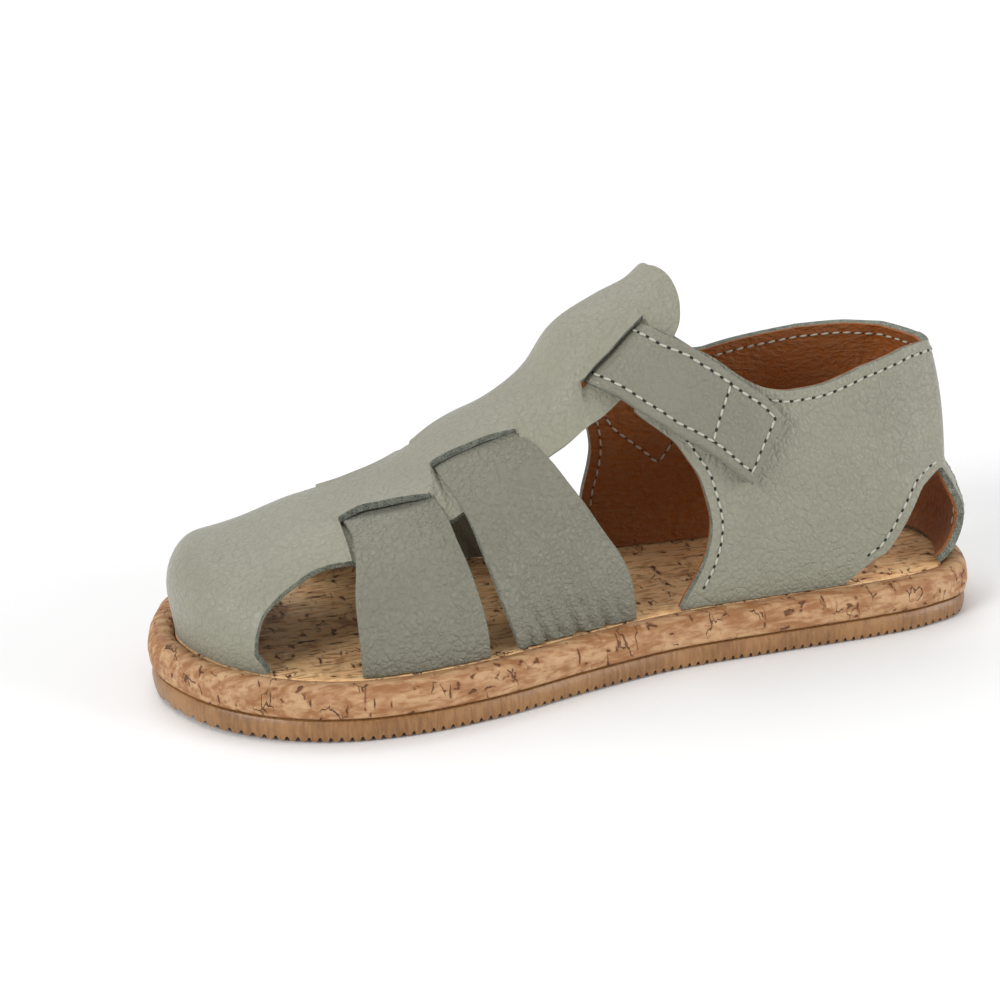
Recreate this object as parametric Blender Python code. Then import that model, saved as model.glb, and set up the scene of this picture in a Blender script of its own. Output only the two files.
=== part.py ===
"""A child's barefoot sandal for the left foot, about EU 28.

A ribbed rubber outsole carries a cork-wrapped platform with a rounded rim, and a cork
insole lies inside that rim. The upper is a toe piece that runs back as a tongue, with two
instep straps threaded through its slits. A lined quarter wraps the heel, and an ankle strap
comes from its inner side, through the tongue's slots, to a fastening on the outer side.

Metres. +Z is up, the toe points to -Y and the outer side of the foot is +X.
The origin is on the underside of the sole, in the middle of its length.
"""

import math

import bmesh
import bpy
import numpy as np

LENGTH = 0.191
BALL_WIDTH = 0.0775
INSTEP_HEIGHT = 0.0724
QUARTER_HEIGHT = 0.0515

OUTSOLE_THICKNESS = 0.0048
OUTSOLE_INSET = 0.0006
RIB_PITCH = 0.0021
RIB_DEPTH = 0.0012
RIB_LAND = 0.0006
TOE_SPRING = 0.0022
TOE_SPRING_START = 0.74
TREAD_SPRING = 0.3

PLATFORM_HEIGHT = 0.0069
RIM_WIDTH = 0.0058
INSOLE_THICKNESS = 0.0013
INSOLE_BELOW_RIM = 0.0007
GAP = 0.0003

STRAP_WALL = 0.0017
QUARTER_WALL = 0.0022
ANKLE_STRAP_WALL = 0.0026
STRAP_DIP = 0.0035
SLIT_STEP = 0.0008

TOE_RADIUS = 0.014
HEEL_RADIUS = 0.030
TOE_BULGE = 0.0028
SIDE_BULGE = 0.0006
HEEL_BULGE = 0.0052
BULGE_HEIGHT = 0.024

INSOLE_TOP = OUTSOLE_THICKNESS + GAP + PLATFORM_HEIGHT - INSOLE_BELOW_RIM
BED = INSOLE_TOP - INSOLE_THICKNESS - GAP
FOOT = INSOLE_TOP + GAP
SEAM_INSET = RIM_WIDTH + GAP

# Columns: station (share of LENGTH from the heel), outer side, inner side (shares of BALL_WIDTH).
OUTLINE = (
    (0.03, 0.236, -0.222),
    (0.09, 0.312, -0.300),
    (0.17, 0.334, -0.338),
    (0.30, 0.336, -0.359),
    (0.42, 0.343, -0.381),
    (0.53, 0.392, -0.421),
    (0.64, 0.459, -0.475),
    (0.74, 0.484, -0.511),
    (0.83, 0.454, -0.516),
    (0.91, 0.356, -0.470),
    (0.97, 0.194, -0.333),
)
TOE_TIP_SIDE = -0.040
POINTS_PER_ROW = 5

# Columns: station, ridge height (share of INSTEP_HEIGHT above the insole), ridge offset to the
# inner side (share of BALL_WIDTH), roundness of the outer side, of the inner side (1 is an
# ellipse, less is squarer).
LAST = (
    (0.00, 0.900, 0.000, 0.65, 0.65),
    (0.20, 1.000, 0.010, 0.64, 0.64),
    (0.33, 1.030, 0.035, 0.66, 0.66),
    (0.38, 1.030, 0.040, 0.75, 0.75),
    (0.42, 0.957, 0.040, 0.85, 0.88),
    (0.458, 0.905, 0.040, 0.95, 0.98),
    (0.508, 0.836, 0.042, 0.97, 1.00),
    (0.542, 0.730, 0.045, 0.95, 1.00),
    (0.584, 0.640, 0.050, 0.92, 1.00),
    (0.632, 0.570, 0.055, 0.88, 0.98),
    (0.660, 0.526, 0.057, 0.86, 0.97),
    (0.705, 0.445, 0.060, 0.85, 0.96),
    (0.753, 0.402, 0.062, 0.85, 0.95),
    (0.821, 0.365, 0.064, 0.85, 0.94),
    (0.889, 0.296, 0.064, 0.84, 0.92),
    (0.94, 0.284, 0.060, 0.82, 0.88),
    (1.00, 0.272, 0.055, 0.82, 0.82),
)

# Toe piece and tongue. Columns: station on the ridge, station at the edge, edge (share of the way
# from the ridge down to the insole), bend (how late the row turns to its edge), slit (share where
# the raised middle ends), level of the middle, level of the margin (shares of STRAP_WALL).
TOE_PIECE = (
    (1.000, 1.000, 1.000, 2.0, 0.400, 0.00, 0.00),
    (0.985, 0.985, 1.000, 2.0, 0.400, 0.00, 0.00),
    (0.970, 0.968, 1.000, 2.0, 0.400, 0.00, 0.00),
    (0.955, 0.948, 1.000, 3.0, 0.400, 0.00, 0.00),
    (0.944, 0.928, 1.000, 5.0, 0.400, 0.00, 0.00),
    (0.935, 0.908, 1.000, 7.0, 0.400, 0.00, 0.00),
    (0.929, 0.917, 0.930, 4.0, 0.390, 0.00, 0.00),
    (0.924, 0.916, 0.860, 3.0, 0.370, 0.00, 0.00),
    (0.917, 0.912, 0.770, 2.0, 0.350, 0.00, 0.00),
    (0.907, 0.905, 0.680, 2.0, 0.330, 0.00, 0.00),
    (0.893, 0.895, 0.610, 2.0, 0.310, 0.00, 0.00),
    (0.874, 0.878, 0.540, 2.0, 0.290, 0.00, 0.00),
    (0.856, 0.860, 0.495, 2.0, 0.270, 0.00, 0.00),
    (0.838, 0.840, 0.460, 2.0, 0.250, 0.00, 0.00),
    (0.818, 0.818, 0.445, 2.0, 0.230, 0.00, 0.00),
    (0.800, 0.800, 0.445, 2.0, 0.210, 0.00, 0.00),
    (0.790, 0.790, 0.445, 2.0, 0.200, 0.00, 0.00),
    (0.784, 0.784, 0.447, 2.0, 0.190, 0.41, -0.76),
    (0.760, 0.760, 0.455, 2.0, 0.165, 0.41, -0.76),
    (0.738, 0.738, 0.460, 2.0, 0.185, 0.41, -0.76),
    (0.713, 0.713, 0.465, 2.0, 0.212, 0.41, -0.76),
    (0.692, 0.692, 0.460, 2.0, 0.255, 0.41, -0.76),
    (0.679, 0.679, 0.455, 2.0, 0.290, 0.41, -0.76),
    (0.6725, 0.6725, 0.450, 2.0, 0.220, 0.00, 0.00),
    (0.667, 0.667, 0.450, 2.0, 0.150, 0.41, -0.76),
    (0.652, 0.652, 0.455, 2.0, 0.162, 0.41, -0.76),
    (0.630, 0.630, 0.460, 2.0, 0.195, 0.41, -0.76),
    (0.605, 0.605, 0.465, 2.0, 0.222, 0.41, -0.76),
    (0.586, 0.586, 0.467, 2.0, 0.252, 0.41, -0.76),
    (0.574, 0.574, 0.468, 2.0, 0.275, 0.41, -0.76),
    (0.566, 0.566, 0.470, 2.0, 0.290, 0.00, 0.00),
    (0.547, 0.547, 0.470, 2.0, 0.300, 0.00, 0.00),
    (0.528, 0.528, 0.482, 2.0, 0.315, 0.00, 0.00),
    (0.512, 0.512, 0.495, 2.0, 0.335, 0.10, 0.00),
    (0.502, 0.502, 0.500, 2.0, 0.350, 0.35, -0.10),
    (0.495, 0.495, 0.500, 2.0, 0.355, 0.70, -0.47),
    (0.488, 0.488, 0.500, 2.0, 0.348, 0.82, -0.47),
    (0.478, 0.478, 0.498, 2.0, 0.335, 0.82, -0.47),
    (0.458, 0.458, 0.482, 2.0, 0.315, 0.82, -0.47),
    (0.440, 0.438, 0.465, 2.0, 0.290, 0.82, -0.47),
    (0.424, 0.420, 0.450, 2.0, 0.268, 0.82, -0.47),
    (0.416, 0.413, 0.442, 2.0, 0.250, 0.40, -0.10),
    (0.407, 0.405, 0.427, 2.0, 0.230, 0.20, 0.00),
    (0.400, 0.399, 0.408, 2.0, 0.210, 0.10, 0.00),
    (0.395, 0.395, 0.386, 2.0, 0.190, 0.00, 0.00),
    (0.391, 0.392, 0.355, 2.0, 0.170, 0.00, 0.00),
    (0.388, 0.389, 0.315, 2.0, 0.150, 0.00, 0.00),
    (0.387, 0.387, 0.260, 2.0, 0.120, 0.00, 0.00),
)

# The tab's end reaches further back on the outer side, by this share of LENGTH over the whole side.
TAB_LEAN = 0.032
TAB_START = 0.424

# Straps. Columns: front or lower edge's station and share, rear or upper edge's station and share
# (1 at the insole, 0 on the ridge), level (shares of STRAP_WALL, or of STRAP_DIP at the ankle).
FRONT_STRAP = (
    (0.797, 1.000, 0.642, 1.000, 0.00),
    (0.797, 0.900, 0.645, 0.915, 0.00),
    (0.797, 0.790, 0.652, 0.800, 0.00),
    (0.795, 0.650, 0.659, 0.680, 0.00),
    (0.788, 0.520, 0.666, 0.560, 0.00),
    (0.783, 0.420, 0.670, 0.460, 0.00),
    (0.780, 0.330, 0.673, 0.400, 0.00),
    (0.781, 0.250, 0.676, 0.340, 0.00),
    (0.783, 0.200, 0.678, 0.300, -0.10),
    (0.784, 0.155, 0.679, 0.250, -0.35),
    (0.782, 0.080, 0.683, 0.130, -0.35),
    (0.780, 0.000, 0.685, 0.000, -0.35),
)
REAR_STRAP = (
    (0.603, 1.000, 0.463, 1.000, 0.00),
    (0.620, 0.880, 0.467, 0.900, 0.00),
    (0.630, 0.780, 0.480, 0.840, 0.00),
    (0.640, 0.665, 0.500, 0.750, 0.00),
    (0.647, 0.550, 0.525, 0.620, 0.00),
    (0.653, 0.450, 0.545, 0.480, 0.00),
    (0.660, 0.340, 0.556, 0.395, 0.00),
    (0.664, 0.240, 0.566, 0.320, 0.00),
    (0.666, 0.165, 0.573, 0.275, -0.10),
    (0.666, 0.125, 0.576, 0.235, -0.35),
    (0.665, 0.060, 0.580, 0.120, -0.35),
    (0.665, 0.000, 0.582, 0.000, -0.35),
)
ANKLE_STRAP = (
    (0.320, 0.860, 0.278, 0.735, 0.00),
    (0.336, 0.838, 0.300, 0.680, 0.00),
    (0.355, 0.800, 0.322, 0.640, 0.00),
    (0.378, 0.745, 0.345, 0.592, 0.00),
    (0.400, 0.685, 0.366, 0.535, 0.00),
    (0.420, 0.615, 0.384, 0.470, 0.00),
    (0.440, 0.545, 0.397, 0.415, 0.00),
    (0.458, 0.480, 0.407, 0.365, -0.05),
    (0.475, 0.425, 0.415, 0.320, -0.25),
    (0.488, 0.378, 0.420, 0.288, -0.60),
    (0.493, 0.340, 0.424, 0.250, -1.00),
    (0.496, 0.270, 0.428, 0.180, -1.00),
    (0.498, 0.140, 0.432, 0.090, -1.00),
    (0.498, 0.000, 0.433, 0.000, -1.00),
)

# Quarter. Columns: station before the front edge's curve, share of the top edge on the outer
# side, on the inner side.
COLLAR = (
    (0.000, 0.540, 0.543),
    (0.050, 0.525, 0.554),
    (0.100, 0.550, 0.567),
    (0.140, 0.579, 0.583),
    (0.180, 0.613, 0.603),
    (0.220, 0.643, 0.623),
    (0.250, 0.662, 0.638),
    (0.280, 0.670, 0.654),
    (0.300, 0.671, 0.664),
    (0.325, 0.656, 0.657),
    (0.345, 0.620, 0.622),
    (0.360, 0.560, 0.570),
    (0.375, 0.505, 0.515),
    (0.390, 0.475, 0.485),
    (0.410, 0.468, 0.475),
    (0.430, 0.478, 0.480),
    (0.443, 0.500, 0.500),
    (0.450, 0.540, 0.540),
)
# Columns: share, station of the front edge on the outer side, on the inner side.
QUARTER_FRONT = (
    (1.000, 0.402, 0.450),
    (0.985, 0.392, 0.449),
    (0.970, 0.382, 0.448),
    (0.955, 0.374, 0.448),
    (0.930, 0.367, 0.448),
    (0.900, 0.365, 0.447),
    (0.860, 0.370, 0.444),
    (0.810, 0.378, 0.438),
    (0.760, 0.390, 0.436),
    (0.690, 0.405, 0.442),
    (0.615, 0.425, 0.455),
    (0.540, 0.443, 0.467),
    (0.450, 0.455, 0.476),
)
# Heel opening. Columns: station, share.
HEEL_OPENING = (
    (0.200, 1.000),
    (0.188, 0.998),
    (0.172, 0.994),
    (0.158, 0.988),
    (0.145, 0.980),
    (0.128, 0.955),
    (0.107, 0.922),
    (0.088, 0.897),
    (0.070, 0.880),
    (0.055, 0.873),
    (0.043, 0.880),
    (0.033, 0.905),
    (0.026, 0.940),
    (0.023, 0.970),
    (0.025, 0.988),
    (0.032, 0.997),
    (0.040, 1.000),
)

GREY_LEATHER = (0.30, 0.29, 0.24)
CORK = (0.55, 0.34, 0.18)
RUBBER = (0.42, 0.24, 0.12)


def material(name, colour, roughness):
    made = bpy.data.materials.new(name)
    made.use_nodes = True
    shader = made.node_tree.nodes["Principled BSDF"]
    shader.inputs["Base Color"].default_value = (*colour, 1.0)
    shader.inputs["Roughness"].default_value = roughness
    shader.inputs["Metallic"].default_value = 0.0
    return made


def curve_points(rows, steps, closed=False):
    """A Catmull-Rom curve through the rows, with this many steps from each row to the next."""
    rows = np.asarray(rows, float)
    if closed:
        padded = np.vstack([rows[-1:], rows, rows[:2]])
    else:
        padded = np.vstack([2 * rows[0] - rows[1], rows, 2 * rows[-1] - rows[-2]])
    share = (np.arange(steps) / steps)[:, None]
    found = []
    for before, start, end, after in zip(padded, padded[1:], padded[2:], padded[3:]):
        found.append(
            0.5
            * (
                2 * start
                + (end - before) * share
                + (2 * before - 5 * start + 4 * end - after) * share**2
                + (3 * start - before - 3 * end + after) * share**3
            )
        )
    if not closed:
        found.append(rows[-1:])
    return np.vstack(found)


def toe_lift(y, z):
    """The toe spring: how far a place at height z rises, the tread less than the insole."""
    start = LENGTH / 2 - TOE_SPRING_START * LENGTH
    share = np.clip((start - y) / (start + LENGTH / 2), 0, None)
    height = np.clip(np.asarray(z) / FOOT, 0, 1)
    return TOE_SPRING * share**2 * (TREAD_SPRING + (1 - TREAD_SPRING) * height)


def sole_outline():
    """The platform's outline, from the heel round the outer side to the toe and back."""
    outer = [(o * BALL_WIDTH, (0.5 - s) * LENGTH) for s, o, _ in OUTLINE]
    inner = [(i * BALL_WIDTH, (0.5 - s) * LENGTH) for s, _, i in OUTLINE]
    toe = (TOE_TIP_SIDE * BALL_WIDTH, -LENGTH / 2)
    return curve_points([(0, LENGTH / 2), *outer, toe, *inner[::-1]], POINTS_PER_ROW, True)


def outward(outline):
    """The outline's unit normals, facing out."""
    along = np.roll(outline, -1, 0) - np.roll(outline, 1, 0)
    along /= np.linalg.norm(along, axis=1)[:, None]
    return np.stack([-along[:, 1], along[:, 0]], 1)


SOLE = sole_outline()
SOLE_NORMALS = outward(SOLE)
SEAM = SOLE - SOLE_NORMALS * SEAM_INSET
HALF = len(SOLE) // 2


def table(rows, column, at):
    rows = np.asarray(rows, float)
    order = rows[:, 0].argsort()
    return np.interp(at, rows[order, 0], rows[order, column])


def smooth_table(rows, steps=8):
    return curve_points(rows, steps)


LAST_CURVE = smooth_table(LAST)
STATIONS = np.array([0, *(row[0] for row in OUTLINE), 1])


def seam_at(station, side):
    """Place and normal of the upper's foot line, on the outer side for side above zero."""
    count = len(STATIONS) - 1
    place = np.interp(station, STATIONS, np.arange(count + 1)) * POINTS_PER_ROW
    index = np.where(side > 0, place, 2 * HALF - place) % (2 * HALF)
    low = np.floor(index).astype(int) % (2 * HALF)
    high = (low + 1) % (2 * HALF)
    part = (index - np.floor(index))[..., None]
    return (
        SEAM[low] * (1 - part) + SEAM[high] * part,
        SOLE_NORMALS[low] * (1 - part) + SOLE_NORMALS[high] * part,
    )


def last_surface(station, edge):
    """A point of the last. edge runs from 1 at the outer foot line, over 0, to -1 at the inner."""
    side = np.where(edge >= 0, 1.0, -1.0)
    foot, normal = seam_at(station, side)
    heel_end = SEAM[0, 1]
    toe_end = SEAM[HALF, 1]
    mean_y = (foot[..., 1] + seam_at(station, -side)[0][..., 1]) / 2
    from_heel = np.clip(heel_end - mean_y, 0, None)
    from_toe = np.clip(mean_y - toe_end, 0, None)
    heel_push = (from_heel**3 + HEEL_RADIUS**3) ** (1 / 3) - from_heel
    toe_push = (from_toe**3 + TOE_RADIUS**3) ** (1 / 3) - from_toe
    ridge_y = mean_y - heel_push + toe_push
    ridge_x = -table(LAST_CURVE, 2, station) * BALL_WIDTH
    outer = table(LAST_CURVE, 3, station)
    roundness = np.where(side > 0, outer, table(LAST_CURVE, 4, station))
    climb = np.clip(1 - np.abs(edge), 0, 1) * math.pi / 2
    inward = 1 - np.clip(np.cos(climb), 0, 1) ** roundness
    rise = np.clip(np.sin(climb), 0, 1) ** roundness
    x = foot[..., 0] + (ridge_x - foot[..., 0]) * inward
    y = foot[..., 1] + (ridge_y - foot[..., 1]) * inward
    ridge = table(LAST_CURVE, 1, 0.5 - y / LENGTH) * INSTEP_HEIGHT
    z = FOOT + ridge * rise
    heelward = np.clip(1 - station / 0.16, 0, 1) ** 0.7
    toeward = np.clip((station - 0.84) / 0.12, 0, 1)
    bulge = SIDE_BULGE + (HEEL_BULGE - SIDE_BULGE) * heelward + (TOE_BULGE - SIDE_BULGE) * toeward
    share = np.clip((z - FOOT) / BULGE_HEIGHT, 0, 1) ** (1 - 0.2 * heelward + 0.6 * toeward)
    bulge = bulge * np.sin(math.pi * share)
    x = x + normal[..., 0] * bulge
    y = y + normal[..., 1] * bulge
    return np.stack([x, y, z + toe_lift(y, z)], -1)


def on_last(station, edge, offset=0.0):
    """A point at this distance outside the last's surface, which is the leather's outer face."""
    station, edge, offset = np.broadcast_arrays(
        np.asarray(station, float), np.asarray(edge, float), np.asarray(offset, float)
    )
    step = 0.004
    along = last_surface(np.clip(station + step, 0, 1), edge) - last_surface(
        np.clip(station - step, 0, 1), edge
    )
    across = last_surface(station, np.clip(edge + step, -1, 1)) - last_surface(
        station, np.clip(edge - step, -1, 1)
    )
    normal = np.cross(along, across)
    length = np.linalg.norm(normal, axis=-1)[..., None]
    normal = normal / np.maximum(length, 1e-12)
    return last_surface(station, edge) + normal * offset[..., None]


def new_object(name, mesh, colour, roughness, collection):
    made = bpy.data.objects.new(name, mesh)
    collection.objects.link(made)
    mesh.materials.append(material(name, colour, roughness))
    return made


def wall_mesh(name, outer, inner, folded=False):
    """A closed wall between two grids of points. folded joins the first row's two halves."""
    rows, columns = outer.shape[:2]
    if folded:
        inner[0] = (inner[0] + inner[0, ::-1]) / 2
    shape = bmesh.new()
    skins = [[[shape.verts.new(p) for p in row] for row in grid] for grid in (outer, inner)]
    for skin in skins:
        for i in range(rows - 1):
            for j in range(columns - 1):
                shape.faces.new((skin[i][j], skin[i][j + 1], skin[i + 1][j + 1], skin[i + 1][j]))
    far, near = skins
    for i in range(rows - 1):
        for j in (0, columns - 1):
            shape.faces.new((far[i][j], far[i + 1][j], near[i + 1][j], near[i][j]))
    for j in range(columns - 1):
        for i in (rows - 1,) if folded else (0, rows - 1):
            shape.faces.new((far[i][j], far[i][j + 1], near[i][j + 1], near[i][j]))
    bmesh.ops.remove_doubles(shape, verts=shape.verts, dist=1e-6)
    bmesh.ops.dissolve_degenerate(shape, edges=shape.edges, dist=1e-6)
    bmesh.ops.triangulate(shape, faces=shape.faces)
    bmesh.ops.recalc_face_normals(shape, faces=shape.faces)
    mesh = bpy.data.meshes.new(name)
    shape.to_mesh(mesh)
    shape.free()
    return mesh


def add_boolean(target, cutter, operation):
    change = target.modifiers.new(operation.title(), "BOOLEAN")
    change.operation = operation
    change.object = cutter
    change.solver = "EXACT"


def make_helper(sheet):
    sheet.hide_render = True
    sheet.display_type = "WIRE"


def ring_solid(name, rings, colour, roughness, collection):
    """A plate whose side follows the sole's outline. rings are (inset, height), bottom to top."""
    shape = bmesh.new()
    loops = []
    for inset, height in rings:
        plan = SOLE - SOLE_NORMALS * inset
        loops.append([shape.verts.new((x, y, height + toe_lift(y, height))) for x, y in plan])
    count = len(SOLE)
    for lower, upper in zip(loops, loops[1:]):
        for i in range(count):
            j = (i + 1) % count
            shape.faces.new((lower[i], lower[j], upper[j], upper[i]))
    for loop in (loops[0], loops[-1]):
        for i in range(HALF):
            far, near = loop[(count - i - 1) % count], loop[(count - i) % count]
            corners = [loop[i], loop[i + 1], far, near]
            shape.faces.new(list(dict.fromkeys(corners)))
    bmesh.ops.recalc_face_normals(shape, faces=shape.faces)
    mesh = bpy.data.meshes.new(name)
    shape.to_mesh(mesh)
    shape.free()
    return new_object(name, mesh, colour, roughness, collection)


def rib_cutter(collection):
    """A comb under the sole whose teeth leave one rib for every pitch."""
    count = int(LENGTH / RIB_PITCH / 2) + 2
    profile = []
    for i in range(-count, count + 1):
        middle = i * RIB_PITCH
        groove = RIB_PITCH - RIB_LAND
        profile.append((middle + RIB_LAND / 2, -GAP / 2))
        profile.append((middle + RIB_LAND / 2 + 0.4 * groove, RIB_DEPTH))
        profile.append((middle + RIB_LAND / 2 + 0.6 * groove, RIB_DEPTH))
        profile.append((middle + RIB_LAND / 2 + groove, -GAP / 2))
    shape = bmesh.new()
    sides = []
    for x in (-BALL_WIDTH, BALL_WIDTH):
        upper = [shape.verts.new((x, y, z + toe_lift(y, z))) for y, z in profile]
        lower = [shape.verts.new((x, y, -OUTSOLE_THICKNESS)) for y, _ in profile]
        sides.append((upper, lower))
    for i in range(len(profile) - 1):
        for (upper, lower) in sides:
            shape.faces.new((upper[i], upper[i + 1], lower[i + 1], lower[i]))
        for row in (0, 1):
            near, far = sides[0][row], sides[1][row]
            shape.faces.new((near[i], near[i + 1], far[i + 1], far[i]))
    for end in (0, len(profile) - 1):
        (upper, lower), (far_upper, far_lower) = sides
        shape.faces.new((upper[end], lower[end], far_lower[end], far_upper[end]))
    bmesh.ops.recalc_face_normals(shape, faces=shape.faces)
    mesh = bpy.data.meshes.new("rib_cutter")
    shape.to_mesh(mesh)
    shape.free()
    made = bpy.data.objects.new("rib_cutter", mesh)
    collection.objects.link(made)
    make_helper(made)
    return made


def toe_piece_sheet():
    """The toe piece and tongue, its middle raised and its margins sunk where straps cross it."""
    rows = np.asarray(TOE_PIECE, float)
    middle, edge_station, edge, bend, slit, high, low = (rows[:, i, None] for i in range(7))
    step = SLIT_STEP / (BALL_WIDTH / 2)
    inside = slit * np.array([0.0, 0.35, 0.70, 1.0])
    outside = slit + step + (edge - slit - step) * np.array([0.0, 0.25, 0.50, 0.72, 0.88, 1.0])
    share = np.hstack([inside, outside])
    level = np.hstack([high + 0 * inside, low + 0 * outside]) * STRAP_WALL
    station = middle + (edge_station - middle) * (share / edge) ** bend
    share = np.hstack([-share[:, :0:-1], share])
    level = np.hstack([level[:, :0:-1], level])
    station = np.hstack([station[:, :0:-1], station])
    lean = np.clip((TAB_START - middle) / (TAB_START - rows[-1, 0]), 0, 1)
    return station - TAB_LEAN * lean * share, share, level


def strap_sheet(rows, depth, columns=5, widen=0.0, steps=1):
    """A strap from its outer end over the ridge to its inner end, which mirrors the outer one."""
    outer = np.asarray(rows, float)
    both = np.vstack([outer, outer[-2::-1] * (1, -1, 1, -1, 1)])
    both = curve_points(both, steps)
    across = np.linspace(-widen, 1 + widen, columns)
    station = both[:, 0, None] + (both[:, 2] - both[:, 0])[:, None] * across
    share = both[:, 1, None] + (both[:, 3] - both[:, 1])[:, None] * across
    level = np.clip(both[:, 4, None], -1, 0) * depth + 0 * across
    return station, np.clip(share, -1, 1), level


def quarter_sheet(columns=53, rows=11):
    """The heel piece, from one front edge round the heel to the other."""
    count = len(STATIONS) - 1
    front_station = COLLAR[-1][0]
    reach = np.interp(front_station, STATIONS, np.arange(count + 1))
    place = np.linspace(-reach, reach, columns)
    base = np.interp(np.abs(place), np.arange(count + 1), STATIONS)
    side = np.where(place >= 0, 1.0, -1.0)
    collar = curve_points(COLLAR, 4)
    top = np.where(side > 0, table(collar, 1, base), table(collar, 2, base))
    climb = np.linspace(0, 1, rows)[:, None] ** 1.5
    share = 1 - (1 - top) * climb
    front = curve_points(QUARTER_FRONT, 4)
    reach = np.where(side > 0, table(front, 1, share), table(front, 2, share))
    return base * reach / front_station, share * side, 0 * share


def opening_cutter(side, collection):
    """A block through the quarter's wall in the shape of one heel opening."""
    boundary = curve_points(HEEL_OPENING, 2)
    loops = []
    shape = bmesh.new()
    for offset in (-0.005, 0.006):
        loop = on_last(boundary[:, 0], np.clip(boundary[:, 1], 0, 1) * side, offset)
        loop[[0, -1], 2] -= PLATFORM_HEIGHT
        loops.append([shape.verts.new(p) for p in loop])
    near, far = loops
    for i in range(len(near)):
        j = (i + 1) % len(near)
        shape.faces.new((near[i], near[j], far[j], far[i]))
    shape.faces.new(near)
    shape.faces.new(far)
    bmesh.ops.triangulate(shape, faces=shape.faces)
    bmesh.ops.recalc_face_normals(shape, faces=shape.faces)
    mesh = bpy.data.meshes.new("opening_cutter")
    shape.to_mesh(mesh)
    shape.free()
    made = bpy.data.objects.new("opening_cutter", mesh)
    collection.objects.link(made)
    make_helper(made)
    return made


def leather(name, sheet, wall, collection, raised=0.0, folded=False):
    """A leather piece: its outer face stands raised above the sheet, its wall goes inward."""
    station, share, level = sheet
    outer = on_last(station, share, level + raised)
    inner = on_last(station, share, level + raised - wall)
    mesh = wall_mesh(name, outer, inner, folded)
    return new_object(name, mesh, GREY_LEATHER, 0.55, collection)


def make_sole(parts, cutters):
    outsole_rings = (
        (OUTSOLE_INSET, 0.0),
        (OUTSOLE_INSET, OUTSOLE_THICKNESS),
    )
    outsole = ring_solid("outsole", outsole_rings, RUBBER, 0.6, parts)
    add_boolean(outsole, rib_cutter(cutters), "DIFFERENCE")
    base = OUTSOLE_THICKNESS + GAP
    rim = (
        (0.17, 0.00),
        (0.03, 0.16),
        (0.00, 0.42),
        (0.05, 0.68),
        (0.24, 0.90),
        (0.55, 1.00),
        (0.87, 0.96),
        (1.00, 0.86),
    )
    rings = [(w * RIM_WIDTH, base + h * PLATFORM_HEIGHT) for w, h in rim]
    rings.append((RIM_WIDTH, BED))
    ring_solid("cork_platform", rings, CORK, 0.7, parts)
    insole_rings = ((SEAM_INSET, BED + GAP), (SEAM_INSET, INSOLE_TOP))
    ring_solid("cork_insole", insole_rings, CORK, 0.75, parts)


def make_upper(parts, cutters):
    """Toe piece and tongue with both instep straps, slotted for the ankle strap."""
    upper = leather("upper", toe_piece_sheet(), STRAP_WALL, parts, folded=True)
    for name, rows in (("front_strap", FRONT_STRAP), ("rear_strap", REAR_STRAP)):
        strap = leather(name, strap_sheet(rows, STRAP_WALL), STRAP_WALL, cutters)
        make_helper(strap)
        add_boolean(upper, strap, "UNION")
    sheet = strap_sheet(ANKLE_STRAP[4:], STRAP_DIP, 5, 0.03, 2)
    wall = ANKLE_STRAP_WALL + 2 * GAP
    tunnel = leather("strap_tunnel", sheet, wall, cutters, raised=wall)
    make_helper(tunnel)
    add_boolean(upper, tunnel, "DIFFERENCE")


def make_quarter(parts, cutters):
    """The lined heel piece with an opening each side of its back strip."""
    quarter = leather("quarter", quarter_sheet(), QUARTER_WALL, parts)
    for side in (1, -1):
        add_boolean(quarter, opening_cutter(side, cutters), "DIFFERENCE")


def make_ankle_strap(parts):
    """The ankle strap, outside the quarter and through the tongue."""
    sheet = strap_sheet(ANKLE_STRAP, STRAP_DIP, steps=2)
    leather("ankle_strap", sheet, ANKLE_STRAP_WALL, parts, raised=GAP + ANKLE_STRAP_WALL)


def main():
    for old in list(bpy.data.objects):
        bpy.data.objects.remove(old)
    parts = bpy.data.collections.new("barefoot_sandal")
    cutters = bpy.data.collections.new("cutters")
    bpy.context.scene.collection.children.link(parts)
    bpy.context.scene.collection.children.link(cutters)
    make_sole(parts, cutters)
    make_upper(parts, cutters)
    make_quarter(parts, cutters)
    make_ankle_strap(parts)


main()
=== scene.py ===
import math

import bmesh
import bpy
import numpy as np
from mathutils import Matrix, Vector, noise


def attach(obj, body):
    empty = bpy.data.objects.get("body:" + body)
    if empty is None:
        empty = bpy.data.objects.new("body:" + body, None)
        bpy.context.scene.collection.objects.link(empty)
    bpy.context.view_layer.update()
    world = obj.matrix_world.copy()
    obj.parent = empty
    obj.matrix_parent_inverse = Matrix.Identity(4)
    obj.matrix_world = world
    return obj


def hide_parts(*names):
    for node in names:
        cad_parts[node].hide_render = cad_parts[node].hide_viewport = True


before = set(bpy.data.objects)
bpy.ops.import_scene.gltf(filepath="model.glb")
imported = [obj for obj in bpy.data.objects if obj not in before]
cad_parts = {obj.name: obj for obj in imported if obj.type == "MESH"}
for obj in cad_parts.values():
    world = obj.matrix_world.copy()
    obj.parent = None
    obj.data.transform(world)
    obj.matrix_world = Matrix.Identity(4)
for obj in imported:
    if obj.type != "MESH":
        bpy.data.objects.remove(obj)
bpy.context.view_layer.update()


# Outsole. A thin plate of gum rubber, pressed with a sawtooth of small ribs across its tread and
# trimmed just inside the cork above it. It is cemented under the platform, and curls up a little
# at the toe.
LENGTH = 0.191
BALL_WIDTH = 0.0775
OUTSOLE_THICKNESS = 0.0048
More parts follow.
